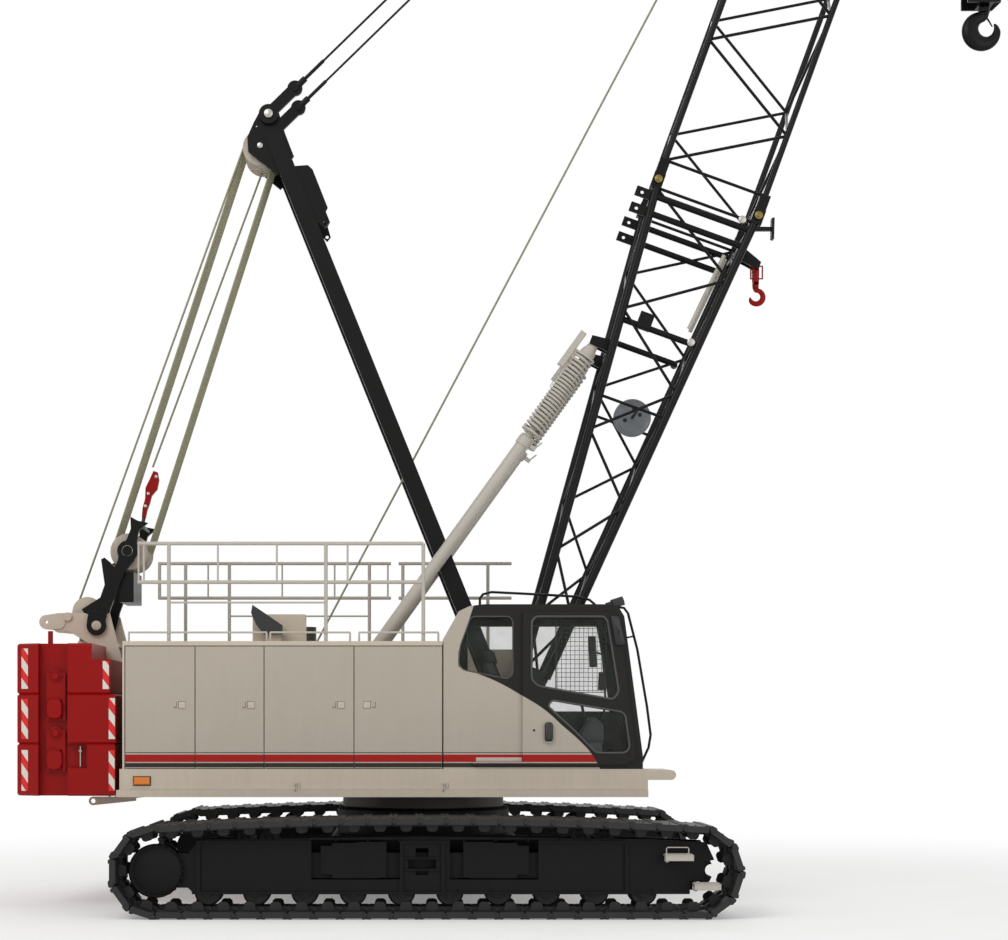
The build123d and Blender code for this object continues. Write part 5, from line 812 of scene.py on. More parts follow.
nutX, nutZ = hookSpec["nut"]
latchX, latchZ = hookSpec["latchPin"]
mainHook = [hookShape(hookSpec["main"]),
            lathe([(0.001, 0.0), (0.045, 0.0), (0.060, 0.010), (0.060, 0.060), (0.045, 0.072),
                   (0.001, 0.073)], (nutX, 0, nutZ), zAxis, 24),
            sweep(hookSpec["latch"], (0.012, 0.010, 0.007), 10),
            lathe([(0.001, -0.05), (0.012, -0.05), (0.012, 0.05), (0.001, 0.05)],
                  (latchX, 0, latchZ), yAxis, 12)]
obj = piece("hookForging", joined(mainHook), boomPaint, "hook", 50.0)
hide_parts("hook")

auxX = hookSpec["auxX"]
yokeLow, yokeHigh = hookSpec["yoke"]
earLine = [(-0.030, yokeLow), (0.030, yokeLow), (0.034, 6.76), (0.028, 6.822), (0.0, 6.833), (-0.028, 6.822),
           (-0.034, 6.76)]
auxHook = [hookShape(hookSpec["aux"]),
           lathe([(0.001, 0.0), (0.030, 0.0), (0.034, 0.006), (0.034, 0.040), (0.026, 0.052), (0.001, 0.053)],
                 (auxX, 0, hookSpec["auxNutZ"]), zAxis, 20),
           roundBox((auxX - 0.03, auxX + 0.03), (-0.042, 0.042), (yokeLow, yokeHigh), 0.004)]
earLine = [(auxX + x, z) for x, z in earLine]
auxHook += [plate(earLine, *sideYs(hand, 0.022, 0.042), 0.003) for hand in (-1, 1)]
obj = piece("auxHookForging", joined(auxHook), redPaint, "aux_hook", 50.0)
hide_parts("aux_hook")
shackle = sweep(hookSpec["shackle"], hookSpec["shackleRadius"], 10, True)
piece("auxShackle", shackle, redPaint, "aux_hook")
print("hooks")

# rigging steel; places on the boom are measured along it from its foot pin, and back from its middle line
boomFoot, boomAngle = (-0.100, 1.816), radians(70)
boomRun, boomRise = cos(boomAngle), sin(boomAngle)
riggingSpec = dict(
    pinHeads=dict(mast=[(-2.780, 8.014, 0.316, 0.030), (-2.686, 8.336, 0.376, 0.046)],   # X, Z, Y, radius
                  upper=[(-4.177, 3.710, 0.382, 0.057), (-4.616, 3.070, 0.322, 0.040)]),
    joint=(5.905, 0.555), jointYs=((0.7075, 0.042, 0.016), (0.7235, 0.020, 0.008)),      # Y, radius, height
    reel=(3.596, -0.073), reelY=0.0352, reelHoles=(0.085, (20, 80, 200)),                # radius, angles
    rods=[[(2.11, -0.52, 6.80), (1.74, -0.52, 6.03)], [(2.13, -0.45, 6.78), (1.76, -0.45, 6.01)]],
    rodRadius=0.022, box=(4.485, 0.175), boxY=-0.60, stow=(4.425, 0.395, -0.370), stowY=0.615,
    stowRadius=0.033, stowPins=(4.425, -0.345), guidePin=(5.81, -0.411), stowPinY=0.690,
    guideArm=((2.395, 2.595), (-0.690, -0.640), (7.020, 7.062)),
    guidePlate=[(2.575, 6.940), (2.600, 6.930), (2.606, 7.150), (2.580, 7.150)], guideYs=(-0.720, -0.610))


def boomAt(along, back):
    return (boomFoot[0] + along * boomRun - back * boomRise, boomFoot[1] + along * boomRise + back * boomRun)


for body, rows in riggingSpec["pinHeads"].items():
    discs = [headDisc(x, z, hand * y, hand, r) for x, z, y, r in rows for hand in (-1, 1)]
    piece(f"pinHeads_{body}", joined(discs), pinSteel, body)
brass = []
along, back = riggingSpec["joint"]
for x, z in (boomAt(along, back), boomAt(along, -back)):
    brass += [headDisc(x, z, hand * y, hand, radius, height) for hand in (-1, 1)
              for y, radius, height in riggingSpec["jointYs"]]
piece("boomJointPins", joined(brass), brassSteel, "boom")

reelX, reelZ = boomAt(*riggingSpec["reel"])
reelProfile = [(0.001, 0.004), (0.050, 0.004), (0.056, 0.002), (0.178, 0.002), (0.186, 0.007), (0.196, 0.007),
               (0.199, 0.0)]
reel = [lathe(reelProfile, (reelX, hand * riggingSpec["reelY"], reelZ), (0, hand, 0), 48) for hand in (-1, 1)]
piece("boomReelDiscs", joined(reel), galvanised, "boom")
ring, holeAngles = riggingSpec["reelHoles"]
holeY = riggingSpec["reelY"] + 0.002
# each hole is a black disc on the face, painted shade in place of an opening
holes = [lathe([(0.001, 0.003), (0.022, 0.003), (0.022, 0.0)],
               (reelX + ring * cos(a), hand * holeY, reelZ + ring * sin(a)), (0, hand, 0), 16)
         for hand in (-1, 1) for a in np.radians(holeAngles)]
piece("boomReelHoles", joined(holes), rubber, "boom")
rods = [sweep(path, riggingSpec["rodRadius"], 12) for path in riggingSpec["rods"]]
piece("storedRods", joined(rods), silverPaint, "boom")
boxX, boxZ = boomAt(*riggingSpec["box"])
junction = moved(roundBox((-0.085, 0.085), (-0.06, 0.06), (-0.075, 0.075), 0.008),
                 [placed((boxX, riggingSpec["boxY"], boxZ), (boomRun, 0, boomRise), (-boomRise, 0, boomRun))])
piece("boomJunctionBox", junction, boomPaint, "boom")

# socket and rod of the rope's dead end, above the gantry's claw
socketSpec = dict(
    outline=[(-4.070, 4.100), (-4.030, 4.092), (-4.012, 4.180), (-3.985, 4.250), (-3.965, 4.330),
             (-3.905, 4.400), (-3.885, 4.500), (-3.900, 4.585), (-3.945, 4.600), (-3.985, 4.510),
             (-4.030, 4.420), (-4.035, 4.300), (-4.062, 4.200)],
    half=0.032, pins=((-4.000, 4.353), (-4.030, 4.219), (-3.915, 4.536)), pinRadius=0.017,
    rod=[(-4.064, 0, 4.020), (-4.046, 0, 4.120)], rodRadius=0.020)
socket = plate(socketSpec["outline"], -socketSpec["half"], socketSpec["half"], 0.006)
piece("deadEndSocket", socket, redPaint, "upper")
pins = [headDisc(x, z, hand * (socketSpec["half"] + 0.0005), hand, socketSpec["pinRadius"])
        for x, z in socketSpec["pins"] for hand in (-1, 1)]
piece("deadEndPins", joined(pins), pinSteel, "upper")
piece("deadEndRod", sweep(socketSpec["rod"], socketSpec["rodRadius"], 14), darkSteel, "upper")

# black foot lugs of the gantry legs over the base plates, with the beige end of the foot pin in each
footSpec = dict(x=-4.492, z=2.917, radius=0.104, arc=(175, 385), top=[(-4.372, 3.075), (-4.575, 3.075)],
                ys=(0.4455, 0.463), pinRadius=0.050)
footX, footZ = footSpec["x"], footSpec["z"]
turn = np.radians(np.linspace(*footSpec["arc"], 22))
footLine = [(footX + footSpec["radius"] * cos(a), footZ + footSpec["radius"] * sin(a)) for a in turn]
feet = [plate(footLine + footSpec["top"], *sideYs(hand, *footSpec["ys"]), 0.003) for hand in (-1, 1)]
piece("gantryFeet", joined(feet), boomPaint, "upper")
pinY = footSpec["ys"][1] + 0.0005
footPins = [headDisc(footX, footZ, hand * pinY, hand, footSpec["pinRadius"], 0.008) for hand in (-1, 1)]
piece("gantryFootPins", joined(footPins), sheavePaint, "upper")

# one round stowage bar across each side of the boom base, their pin heads, and the rope guide's bracket
along, backLow, backHigh = riggingSpec["stow"]
(x0, z0), (x1, z1) = boomAt(along, backLow), boomAt(along, backHigh)
pinY = riggingSpec["stowPinY"]
bars, barPins = [], []
for hand in (-1, 1):
    barY = hand * riggingSpec["stowY"]
    bars.append(sweep([(x0, barY, z0), (x1, barY, z1)], riggingSpec["stowRadius"], 14))
    barPins.append(headDisc(*boomAt(*riggingSpec["stowPins"]), hand * pinY, hand, 0.040, 0.014))
barPins.append(headDisc(*boomAt(*riggingSpec["guidePin"]), -pinY, -1, 0.040, 0.014))
bars.append(roundBox(*riggingSpec["guideArm"], 0.004))
bars.append(plate(riggingSpec["guidePlate"], *riggingSpec["guideYs"], 0.003))
piece("boomStowBars", joined(bars), boomPaint, "boom")
piece("boomStowPins", joined(barPins), pinSteel, "boom")
print("rigging steel")

# operator's cab: windows as X and Z in metres, drawn with sharp corners
cabSpec = dict(
    face=-1.490, doorFace=-1.530, seal=0.011, rearSeal=0.0075, corner=0.035,
    rearWindow=[(-0.705, 2.483), (-0.686, 2.662), (-0.588, 2.931), (-0.552, 2.957), (-0.194, 2.957),
                (-0.158, 2.913), (-0.158, 2.376), (-0.212, 2.330), (-0.659, 2.421)],
    doorWindow=[(0.028, 2.322), (0.028, 2.911), (0.072, 2.955), (0.753, 2.955), (0.788, 2.911),
                (0.903, 2.197), (0.842, 2.124), (0.091, 2.259)],
    lowWindow=[(0.189, 2.057), (0.232, 2.117), (0.931, 1.999), (0.967, 1.963), (1.011, 1.642), (0.967, 1.588),
               (0.672, 1.588), (0.466, 1.803)],
    leftWindow=[(-0.600, 2.000), (-0.600, 2.900), (0.760, 2.900), (0.900, 2.000)])
cabFace, doorFace, cabLeft = cabSpec["face"], cabSpec["doorFace"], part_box("cab_shell")[1][1]


def sealRing(window, y, size):
    # rubber moulding round a pane, half sunk in the panel: a tube along the window's rounded outline
    ring = rounded(cabSpec[window], cabSpec["corner"])
    return sweep(np.stack([ring[:, 0], np.full(len(ring), y), ring[:, 1]], 1), size, 8, True)


seals = [sealRing("rearWindow", cabFace + 0.003, cabSpec["rearSeal"]),
         sealRing("leftWindow", cabLeft - 0.004, cabSpec["seal"])]
piece("cabSeals", joined(seals), sealRubber, "upper")
doorSeals = [sealRing(window, doorFace + 0.004, cabSpec["seal"]) for window in ("doorWindow", "lowWindow")]
piece("cabDoorSeals", joined(doorSeals), sealRubber, "cab_door")

# pane guard of crossed wires inside the far window
guardSpec = dict(x=(0.322, 0.838), z=(2.207, 2.950), pitch=0.046, wire=0.0026, frame=0.007,
                 upright=(0.335, 0.83, 2.213, 2.943), level=(2.226, 2.94, 0.325, 0.835),
                 inside=(0.062, 0.067, 0.064))
uprightY, levelY, frameY = (cabLeft - inside for inside in guardSpec["inside"])
pitch, wire = guardSpec["pitch"], guardSpec["wire"]
first, last, low, high = guardSpec["upright"]
wires = [sweep([(x, uprightY, low), (x, uprightY, high)], wire, 6) for x in np.arange(first, last, pitch)]
first, last, low, high = guardSpec["level"]
wires += [sweep([(low, levelY, z), (high, levelY, z)], wire, 6) for z in np.arange(first, last, pitch)]
(x0, x1), (z0, z1) = guardSpec["x"], guardSpec["z"]
corners = [(x0, frameY, z0), (x1, frameY, z0), (x1, frameY, z1), (x0, frameY, z1)]
wires.append(sweep(corners, guardSpec["frame"], 8, True))
piece("cabPaneGuard", joined(wires), blackPlastic, "upper")

# seat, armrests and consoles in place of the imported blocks
seatSpec = dict(
    cushion=((-0.300, 0.180), 0.25, (1.730, 1.850)), padX=(-0.270, 0.150), padZ=(1.842, 1.864), padHalf=0.038,
    back=[(-0.330, 1.84), (-0.200, 1.86), (-0.262, 2.150), (-0.315, 2.430), (-0.350, 2.500), (-0.425, 2.490),
          (-0.418, 2.400), (-0.372, 2.120)],
    headrest=[(-0.345, 2.490), (-0.300, 2.500), (-0.330, 2.600), (-0.372, 2.640), (-0.425, 2.620),
              (-0.418, 2.500)],
    armrest=[(-0.250, 1.950), (0.200, 1.930), (0.240, 1.985), (0.210, 2.010), (-0.250, 2.020)], armY=0.315,
    console=[(0.500, 1.690), (0.770, 1.690), (0.770, 1.860), (0.700, 1.945), (0.640, 1.945)],
    lever=[(0.0, 2.000), (0.015, 2.090)], leverXs=(0.13, 0.19), knobZ=2.085,
    steering=[(0.60, 1.90), (0.56, 2.08), (0.55, 2.16)], steeringYs=(0.10, 0.22))
inLow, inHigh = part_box("cab_interior")
seatY, floorZ = (inLow[1] + inHigh[1]) / 2, inLow[2]
cushionX, cushionHalf, cushionZ = seatSpec["cushion"]
seat = [roundBox(cushionX, (seatY - cushionHalf, seatY + cushionHalf), cushionZ, 0.035),
        plate(seatSpec["back"], seatY - 0.24, seatY + 0.24, 0.035),
        plate(seatSpec["headrest"], seatY - 0.13, seatY + 0.13, 0.025)]
for y in seatY + np.linspace(-0.18, 0.18, 4):
    padYs = (y - seatSpec["padHalf"], y + seatSpec["padHalf"])
    seat.append(roundBox(seatSpec["padX"], padYs, seatSpec["padZ"], 0.010))
obj = piece("cabSeat", joined(seat), seatCloth, "upper", 55.0)
trim = [roundBox((-0.280, 0.160), (seatY - 0.22, seatY + 0.22), (floorZ, 1.735), 0.02),
        roundBox((0.520, 0.760), (inLow[1], inHigh[1]), (floorZ, 1.700), 0.02),
        plate(seatSpec["console"], inLow[1], inHigh[1], 0.015)]
levers = []
for armY in (seatY - seatSpec["armY"], seatY + seatSpec["armY"]):
    trim.append(plate(seatSpec["armrest"], armY - 0.045, armY + 0.045, 0.012))
    trim.append(roundBox((-0.10, 0.02), (armY - 0.03, armY + 0.03), (1.72, 1.955), 0.008))
    for leverX in seatSpec["leverXs"]:
        levers.append(sweep([(leverX + x, armY, z) for x, z in seatSpec["lever"]], 0.007, 8))
        levers.append(lathe([(0.001, 0.0), (0.018, 0.006), (0.022, 0.026), (0.018, 0.046), (0.001, 0.052)],
                            (leverX + 0.015, armY, seatSpec["knobZ"]), zAxis, 14))
obj = piece("cabConsoles", joined(trim), trimPlastic, "upper", 50.0)
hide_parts("cab_interior")
for y in seatSpec["steeringYs"]:
    levers.append(sweep([(x, inLow[1] + y, z) for x, z in seatSpec["steering"]], 0.010, 10))
piece("cabLevers", joined(levers), blackPlastic, "upper")

screenSpec = dict(large=[(0.664, 2.466), (0.742, 2.466), (0.726, 2.786), (0.648, 2.786)],
                  small=[(0.750, 2.230), (0.830, 2.230), (0.826, 2.415), (0.760, 2.415)], ys=(-0.900, -0.862),
                  post=[(0.72, 2.62), (0.80, 2.60), (0.815, 2.40), (0.83, 2.10), (0.80, 1.93)], postY=-0.88)
screens = [plate(screenSpec["large"], *screenSpec["ys"], 0.008),
           plate(screenSpec["small"], *screenSpec["ys"], 0.008),
           sweep([(x, screenSpec["postY"], z) for x, z in screenSpec["post"]], 0.012, 10)]
piece("cabScreens", joined(screens), blackPlastic, "upper")

# rails round the roof and before the door, their two clips, and the work lamps
railSpec = dict(
    rails=[[(-0.486, -1.40, 3.080), (-0.486, -1.40, 3.145), (-0.455, -1.40, 3.185), (-0.369, -1.40, 3.207),
            (0.1, -1.40, 3.184), (0.4775, -1.40, 3.162), (0.62, -1.40, 3.128), (0.684, -1.40, 3.072)],
           [(0.890, -1.45, 3.052), (0.960, -1.45, 3.045), (1.000, -1.46, 2.990), (1.092, -1.47, 2.628),
            (1.190, -1.47, 2.05), (1.226, -1.47, 1.767), (1.205, -1.47, 1.640), (1.140, -1.47, 1.500)]],
    clips=[[(0.985, -1.44, 2.745), (1.058, -1.465, 2.760)], [(1.120, -1.45, 1.520), (1.150, -1.47, 1.528)]],
    railRadius=0.013, clipRadius=0.009)
rails = [sweep(path, railSpec["railRadius"], 10) for path in railSpec["rails"]]
rails += [sweep(path, railSpec["clipRadius"], 10) for path in railSpec["clips"]]
piece("cabRails", joined(rails), boomPaint, "upper", 60.0)
lampSpec = dict(ys=(-1.36, -0.85), x=0.905, z=3.105, aim=(0.95, 0, 0.31), length=0.062, half=0.045,
                stem=[(0.80, 3.060), (0.86, 3.085)], lens=(0.966, 3.125))
aimX, _, aimZ = lampSpec["aim"]
length, half = lampSpec["length"], lampSpec["half"]
body = roundBox((-length, length), (-half, half), (-half, half), 0.012)
lamps = [moved(body, [placed((lampSpec["x"], y, lampSpec["z"]), lampSpec["aim"], (-aimZ, 0, aimX))])
         for y in lampSpec["ys"]]
lamps += [sweep([(x, y, z) for x, z in lampSpec["stem"]], 0.012, 10) for y in lampSpec["ys"]]
piece("cabWorkLamps", joined(lamps), blackPlastic, "upper")
lensX, lensZ = lampSpec["lens"]
lenses = [lathe([(0.001, 0.004), (0.030, 0.003), (0.036, 0.0)], (lensX, y, lensZ), lampSpec["aim"], 20)
          for y in lampSpec["ys"]]
piece("cabLampLenses", joined(lenses), lampClear, "upper")

# the door's mirror housing, grab bar and latch plate with its grip; the sill's folded step and the wiper
doorSpec = dict(
    housing=[(0.812, 2.962), (0.900, 2.955), (0.962, 2.672), (0.868, 2.655)], ys=(-1.566, -1.531),
    latch=[(0.158, 1.700), (0.158, 1.896), (0.240, 1.896), (0.240, 1.700)], latchYs=(-1.5705, -1.531),
    bar=[(0.875, -1.560, 2.86), (0.905, -1.580, 2.80), (0.890, -1.560, 2.74)],
    grip=[(0.184, 1.722), (0.184, 1.872), (0.214, 1.872), (0.214, 1.722)], gripYs=(-1.578, -1.571),
    lock=(0.052, 1.815),
    sill=[((-0.528, -0.067), (-1.4940, -1.4902), (1.500, 1.542)),
          ((-0.515, -0.080), (-1.4955, -1.4941), (1.512, 1.530))],
    wiperArm=[(1.120, -1.05, 1.700), (1.050, -1.02, 2.250), (1.030, -0.98, 2.380)],
    wiperBlade=[(1.075, -1.00, 2.000), (1.018, -1.00, 2.480)])
fittings = [plate(rounded(doorSpec["housing"], 0.03), *doorSpec["ys"], 0.012),
            plate(rounded(doorSpec["latch"], 0.038), *doorSpec["latchYs"], 0.010),
            sweep(doorSpec["bar"], 0.007, 8)]
piece("cabDoorFittings", joined(fittings), blackPlastic, "cab_door", 50.0)
lockX, lockZ = doorSpec["lock"]
grip = [plate(rounded(doorSpec["grip"], 0.014), *doorSpec["gripYs"], 0.003),
        lathe([(0.001, 0.006), (0.010, 0.006), (0.013, 0.0)], (lockX, doorFace - 0.001, lockZ), -yAxis, 16)]
piece("cabDoorGrip", joined(grip), darkSteel, "cab_door")
sill = [roundBox(*box, bevel) for box, bevel in zip(doorSpec["sill"], (0.001, 0.0005))]
piece("cabSillStep", joined(sill), silverPaint, "upper")
wiper = [sweep(doorSpec["wiperArm"], 0.009, 8), sweep(doorSpec["wiperBlade"], 0.006, 8)]
piece("cabWiper", joined(wiper), blackPlastic, "upper")
print("cab")

# house: door latches, side lamp, ledge tread, cleats and intake scoop; Y is measured from the middle plane
latchSpec = dict(size=0.080, z=(2.030, 2.110), edge=0.085, pocket=0.050, gap=0.004, rimYs=(1.4985, 1.5030),
                 seamYs=(1.4970, 1.5010), flapYs=(1.4962, 1.5022),
                 rearHinged=dict(right_1=True, right_2=True, right_3=True, right_4=False,
                                 left_1=True, left_2=True, left_3=False))
zLow, zHigh = latchSpec["z"]
for number, rearHinged in latchSpec["rearHinged"].items():
    low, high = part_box(f"door_{number}")
    hand = -1 if number.startswith("right") else 1
    size, gap, pocketSize = latchSpec["size"], latchSpec["gap"], latchSpec["pocket"]
    x0 = high[0] - latchSpec["edge"] - size if rearHinged else low[0] + latchSpec["edge"]
    x1 = x0 + size
    pocket = x0 - gap - pocketSize if rearHinged else x1 + gap
    outer = (min(x0, pocket) - gap, max(x1, pocket + pocketSize) + gap)
    rimYs, seamYs, flapYs = (sideYs(hand, *latchSpec[name]) for name in ("rimYs", "seamYs", "flapYs"))
    middle = ((x0 + x1) / 2, hand * latchSpec["flapYs"][1], (zLow + zHigh) / 2)
    rim = [roundBox(outer, rimYs, (z - 0.003, z + 0.003), 0.001) for z in (zLow - 0.002, zHigh + 0.002)]
    rim += [roundBox((x, x + 0.006), rimYs, latchSpec["z"], 0.001) for x in (outer[0], outer[1] - 0.006)]
    rim.append(roundBox((x0 + 0.006, x1 - 0.006), flapYs, (zLow + 0.007, zHigh - 0.007), 0.003))
    rim.append(lathe([(0.001, 0.003), (0.007, 0.003), (0.009, 0.0)], middle, (0, hand, 0), 14))
    piece(f"latchRim_{number}", joined(rim), beigePaint, f"door_{number}")
    seam = [roundBox((x0 + 0.001, x1 - 0.001), seamYs, (zLow + 0.002, zHigh - 0.002), 0.001),
            roundBox((pocket + 0.006, pocket + 0.044), flapYs, (zLow + 0.006, zLow + 0.022), 0.003),
            roundBox((pocket + 0.034, pocket + 0.044), flapYs, (zLow + 0.022, zHigh - 0.012), 0.003)]
    piece(f"latchSeam_{number}", joined(seam), latchGrey, f"door_{number}")

sideLampSpec = dict(x=(-3.958, -3.798), z=(1.268, 1.344), ys=(-1.528, -1.5003), bezel=0.010, bezelY=-1.508)
(x0, x1), (z0, z1), (y0, y1) = sideLampSpec["x"], sideLampSpec["z"], sideLampSpec["ys"]
rim = sideLampSpec["bezel"]
piece("sideLampLens", roundBox((x0, x1), (y0, y1), (z0, z1), 0.010), lampAmber, "upper")
bezel = roundBox((x0 - rim, x1 + rim), (sideLampSpec["bezelY"], y1), (z0 - rim, z1 + rim), 0.003)
piece("sideLampBezel", bezel, blackPlastic, "upper")
ledgeSpec = dict(x=(-4.00, 1.17), pitch=0.036, y=-1.5145, z=1.2152, cleatXs=(-2.318, -0.833),
                 cleat=[(-1.51, 1.285), (-1.545, 1.270), (-1.545, 1.215), (-1.51, 1.200)])
stud = plate([(-0.014, 0.0), (0.014, 0.0), (0.006, 0.012), (-0.006, 0.012)], -0.013, 0.013)
spots = [placed((x, ledgeSpec["y"], ledgeSpec["z"])) for x in np.arange(*ledgeSpec["x"], ledgeSpec["pitch"])]
piece("ledgeTread", moved(stud, spots), beigePaint, "upper", 0)
cleats = []
for x in ledgeSpec["cleatXs"]:
    cleats.append(sweep([(x - 0.02, y, z) for y, z in ledgeSpec["cleat"]], 0.007, 8))
    cleats.append(roundBox((x + 0.005, x + 0.025), (-1.512, -1.5005), (1.205, 1.290), 0.002))
piece("ledgeCleats", joined(cleats), silverPaint, "upper")
scoopLow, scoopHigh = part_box("air_intake")
scoopLine = [(-2.790, 3.089), (-2.804, 3.007), (-2.750, 2.882), (-2.667, 2.785), (-2.480, 2.786),
             (-2.484, 2.880)]
scoop = plate(scoopLine, scoopLow[1] - 0.006, scoopHigh[1] + 0.006, 0.004)
piece("intakeScoop", scoop, blackPlastic, "upper")
print("house")

# counterweight: reflective strips, pin rings, strap knobs and lifting rods
weightSpec = dict(
    rearStrips=[(2.233, 2.640), (1.727, 2.132), (1.204, 1.616)],   # bottom and top
    frontStrips=[(-4.275, -4.212, 2.229, 2.510), (-4.215, -4.152, 1.727, 2.138),
                 (-4.215, -4.155, 1.204, 1.616)],
    frontYs=(1.4804, 1.4826), facet=(0.260, 0.150), stripAt=(-5.076, 1.38004), stripHalf=0.042,
    ringX=-4.7575, ringY=1.411, ringZs=(2.362, 1.788), ringRadius=0.052, wire=0.004,
    knobX=(-4.852, -4.690), knobYs=(1.4105, 1.446), knobZs=(2.035, 1.522), knobReach=(0.105, 0.100),
    rod=(-4.509, 1.415), rodZ=(1.655, 1.450), rodRadius=0.008, nutZ=1.600)
facetX, facetY = weightSpec["facet"]      # the slab's cut rear corner, forwards and outwards
stripX, stripY = weightSpec["stripAt"]
stripHalf = weightSpec["stripHalf"]
strips, rings, knobs, rods = [], [], [], []
turn = np.linspace(0, 2 * pi, 33)[:-1]
ringX = weightSpec["ringX"] + weightSpec["ringRadius"] * np.cos(turn)
rodX, rodY = weightSpec["rod"]
for hand in (-1, 1):
    for zLow, zHigh in weightSpec["rearStrips"]:
        half = (zHigh - zLow) / 2
        strip = roundBox((-stripHalf, stripHalf), (-0.0014, 0.0014), (-half, half), 0.0004)
        centre = (stripX, hand * stripY, (zLow + zHigh) / 2)
        strips.append(moved(strip, [placed(centre, (facetX, hand * facetY, 0))]))
    for xLow, xHigh, zLow, zHigh in weightSpec["frontStrips"]:
        strips.append(roundBox((xLow, xHigh), sideYs(hand, *weightSpec["frontYs"]), (zLow, zHigh), 0.0004))
    for z in weightSpec["ringZs"]:
        ringZ = z + weightSpec["ringRadius"] * np.sin(turn)
        ring = np.stack([ringX, np.full(len(turn), hand * weightSpec["ringY"]), ringZ], 1)
        rings.append(sweep(ring, weightSpec["wire"], 8, True))
    x0, x1 = weightSpec["knobX"]
    below, above = weightSpec["knobReach"]
    for z in weightSpec["knobZs"]:
        knob = rounded([(x0, z - below), (x0, z + above), (x1, z + above), (x1, z - below)], 0.072)
        knobs.append(plate(knob, *sideYs(hand, *weightSpec["knobYs"]), 0.010))
    rods.append(sweep([(rodX, hand * rodY, z) for z in weightSpec["rodZ"]], weightSpec["rodRadius"], 10))
    rods.append(lathe([(0.001, 0.0), (0.018, 0.0), (0.018, 0.016), (0.001, 0.016)],
                      (rodX, hand * rodY, weightSpec["nutZ"]), zAxis, 6))
piece("weightStrips", joined(strips), stripFilm, "upper", 0)
piece("weightPinRings", joined(rings + knobs), redPaint, "upper")
piece("weightLiftRods", joined(rods), pinSteel, "upper")
print("counterweight")

# camera, floor and light
cameraSpec = dict(place=(-1.21, -22.25, 1.837), lens=73.9, shift=(0.0952, 0.256), width=36.0, clipEnd=400)
camera = bpy.data.objects.new("camera", bpy.data.cameras.new("camera"))
camera.location = cameraSpec["place"]
camera.rotation_euler = (radians(90), 0, 0)
camera.data.lens, camera.data.sensor_width = cameraSpec["lens"], cameraSpec["width"]
camera.data.shift_x, camera.data.shift_y = cameraSpec["shift"]
camera.data.clip_end = cameraSpec["clipEnd"]
bpy.context.scene.collection.objects.link(camera)
bpy.context.scene.camera = camera
bpy.context.scene.view_settings.view_transform = "Standard"


def seenDirectly(tree):
    # 1 for rays from the camera, mirrors and glass, 0 for the rest
    rays = addNode(tree, "LightPath", {}).node.outputs
    mirrored = {0: rays["Is Glossy Ray"], 1: rays["Is Transmission Ray"]}
    mirrored = addNode(tree, "Math", mirrored, operation="MAXIMUM")
    return addNode(tree, "Math", {0: rays["Is Camera Ray"], 1: mirrored}, operation="MAXIMUM")


floorSpec = dict(colours=("#f4f4f3", "#fbfbfa"), near=5.0, far=16.0, nearGlow=0.22,
                 corners=[(-90, -60, 0), (90, -60, 0), (90, 120, 0), (-90, 120, 0)])


def paleFloor():
    # matt pale ground that keeps the crane's shadow and runs out into the white background
    # glow = nearGlow within near metres, smoothly up to 1 beyond far, for rays that see the floor directly;
    # the ground's own colour fades to none as the glow takes over
    material, tree, shader, place = newMaterial("paleGroundPaint")
    grain = addNode(tree, "TexNoise", {"Vector": place, "Scale": 1.4, "Detail": 4.0})
    away = addNode(tree, "VectorMath", {0: place}, "Value", operation="LENGTH")
    fade = {0: away, 1: floorSpec["near"], 2: floorSpec["far"], 3: floorSpec["nearGlow"], 4: 1.0}
    far = addNode(tree, "MapRange", fade, interpolation_type="SMOOTHSTEP")
    glow = addNode(tree, "Math", {0: far, 1: seenDirectly(tree)}, operation="MULTIPLY")
    first, second = (hexLinear(colour) for colour in floorSpec["colours"])
    pale = addNode(tree, "Mix", {0: grain, 6: first, 7: second}, 2, data_type="RGBA")
    shown = addNode(tree, "Mix", {0: glow, 6: pale, 7: (0.0, 0.0, 0.0, 1.0)}, 2, data_type="RGBA")
    setInputs(shader, {"Emission Color": (1.0, 1.0, 1.0, 1.0), "Emission Strength": glow})
    setInputs(shader, {"Base Color": shown, "Roughness": 0.9, "Specular IOR Level": 0.0})
    return material


floorMesh = bpy.data.meshes.new("floor")
floorMesh.from_pydata(floorSpec["corners"], [], [(0, 1, 2, 3)])
floorMesh.materials.append(paleFloor())
floor = bpy.data.objects.new("floor", floorMesh)
bpy.context.scene.collection.objects.link(floor)

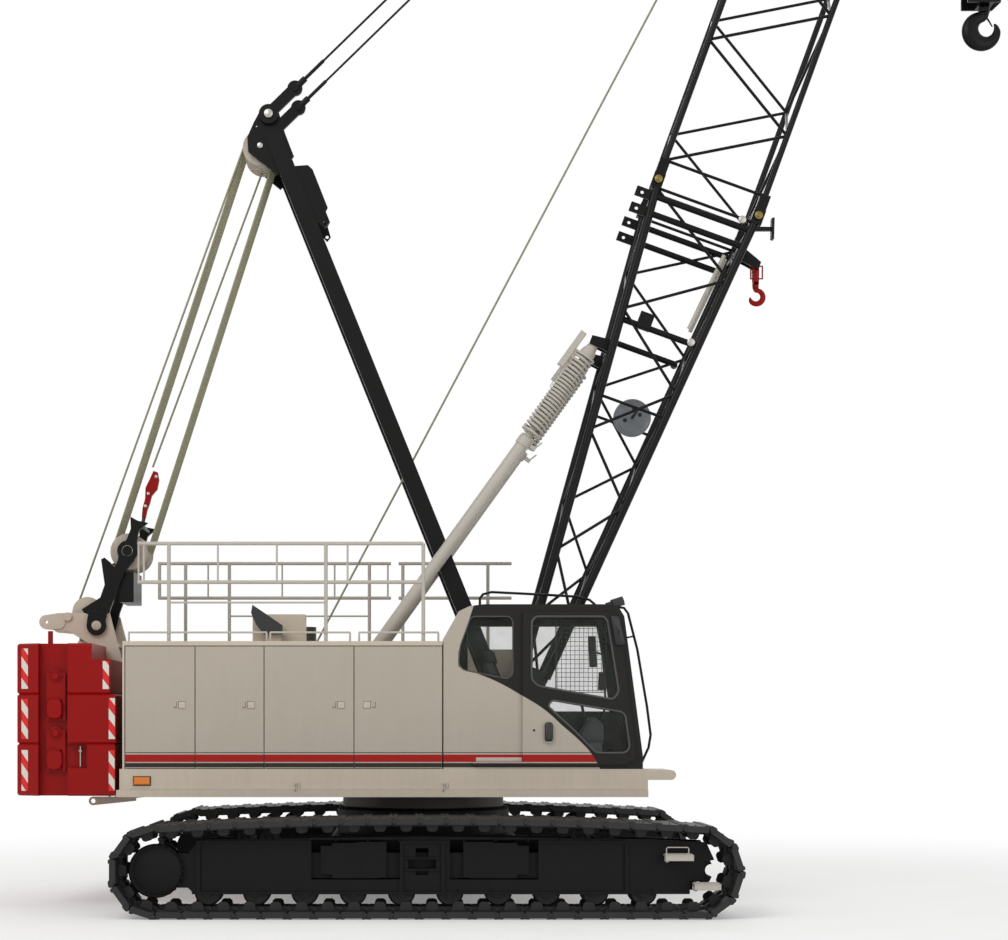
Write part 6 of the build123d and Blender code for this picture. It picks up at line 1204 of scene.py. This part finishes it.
worldSpec = dict(light=0.66, background=1.0)
world = bpy.data.worlds.new("paleStudio")
bpy.context.scene.world = world
world.use_nodes = True
sky = world.node_tree
sky.nodes.clear()
levels = {0: seenDirectly(sky), 3: worldSpec["light"], 4: worldSpec["background"]}
strength = addNode(sky, "MapRange", levels)
background = addNode(sky, "Background", {"Color": (1.0, 1.0, 1.0, 1.0), "Strength": strength})
sky.links.new(background, sky.nodes.new("ShaderNodeOutputWorld").inputs["Surface"])

lights = dict(key=((-14, -20, 22), 14.0, 2900.0),     # place, width in metres and watts
              fill=((16, -22, 9), 16.0, 1100.0),
              back=((4, 24, 18), 14.0, 1100.0))
lightTarget = np.array([-1.0, 0.0, 4.0])
for name, (place, size, power) in lights.items():
    lamp = bpy.data.lights.new(name, "AREA")
    lamp.size, lamp.energy = size, power
    obj = bpy.data.objects.new(name, lamp)
    obj.location = place
    aim = lightTarget - np.array(place)
    obj.rotation_euler = (atan2(hypot(aim[0], aim[1]), -aim[2]), 0, atan2(aim[1], aim[0]) - pi / 2)
    bpy.context.scene.collection.objects.link(obj)
print("stage and light")

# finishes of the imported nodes
finishNodes = [
    (chassisPaint, "carbody track_frame_right track_frame_left track_wheels_right track_wheels_left"),
    (chassisPaint, "drive_cover_right drive_cover_left"),
    (shoeSteel, "track_right track_left rollers_right rollers_left"),
    (beigePaint, "revolving_frame house_right house_left gantry_base boom_winch air_intake"),
    (beigePaint, "steps_right steps_left"),
    (boomPaint, "gantry boom_base boom_top boom_head mast pendants hook_block hook"),
    (redPaint, "counterweight_lower counterweight_middle counterweight_upper weight_straps aux_hook"),
    (silverPaint, "handrails_right handrails_left backstop_tube_right backstop_tube_left"),
    (silverPaint, "backstop_rod_right backstop_rod_left"),
    (sheavePaint, "gantry_sheaves head_sheaves mast_sheaves block_sheaves"),
    (machineGrey, "engine_block hoist_drums"), (darkSteel, "slew_ring exhaust"), (ropeSteel, "hook_falls"),
    (cabPaint, "cab_shell cab_door"), (cabGlass, "cab_glass cab_door_glass"), (trimPlastic, "cab_interior")]
nodeFinish = {node: finish for finish, nodes in finishNodes for node in nodes.split()}
for node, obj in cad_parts.items():
    finish = housePaint if node.startswith("door_") else nodeFinish[node]
    obj.data.materials.clear()
    obj.data.materials.append(finish)
print("finishes")
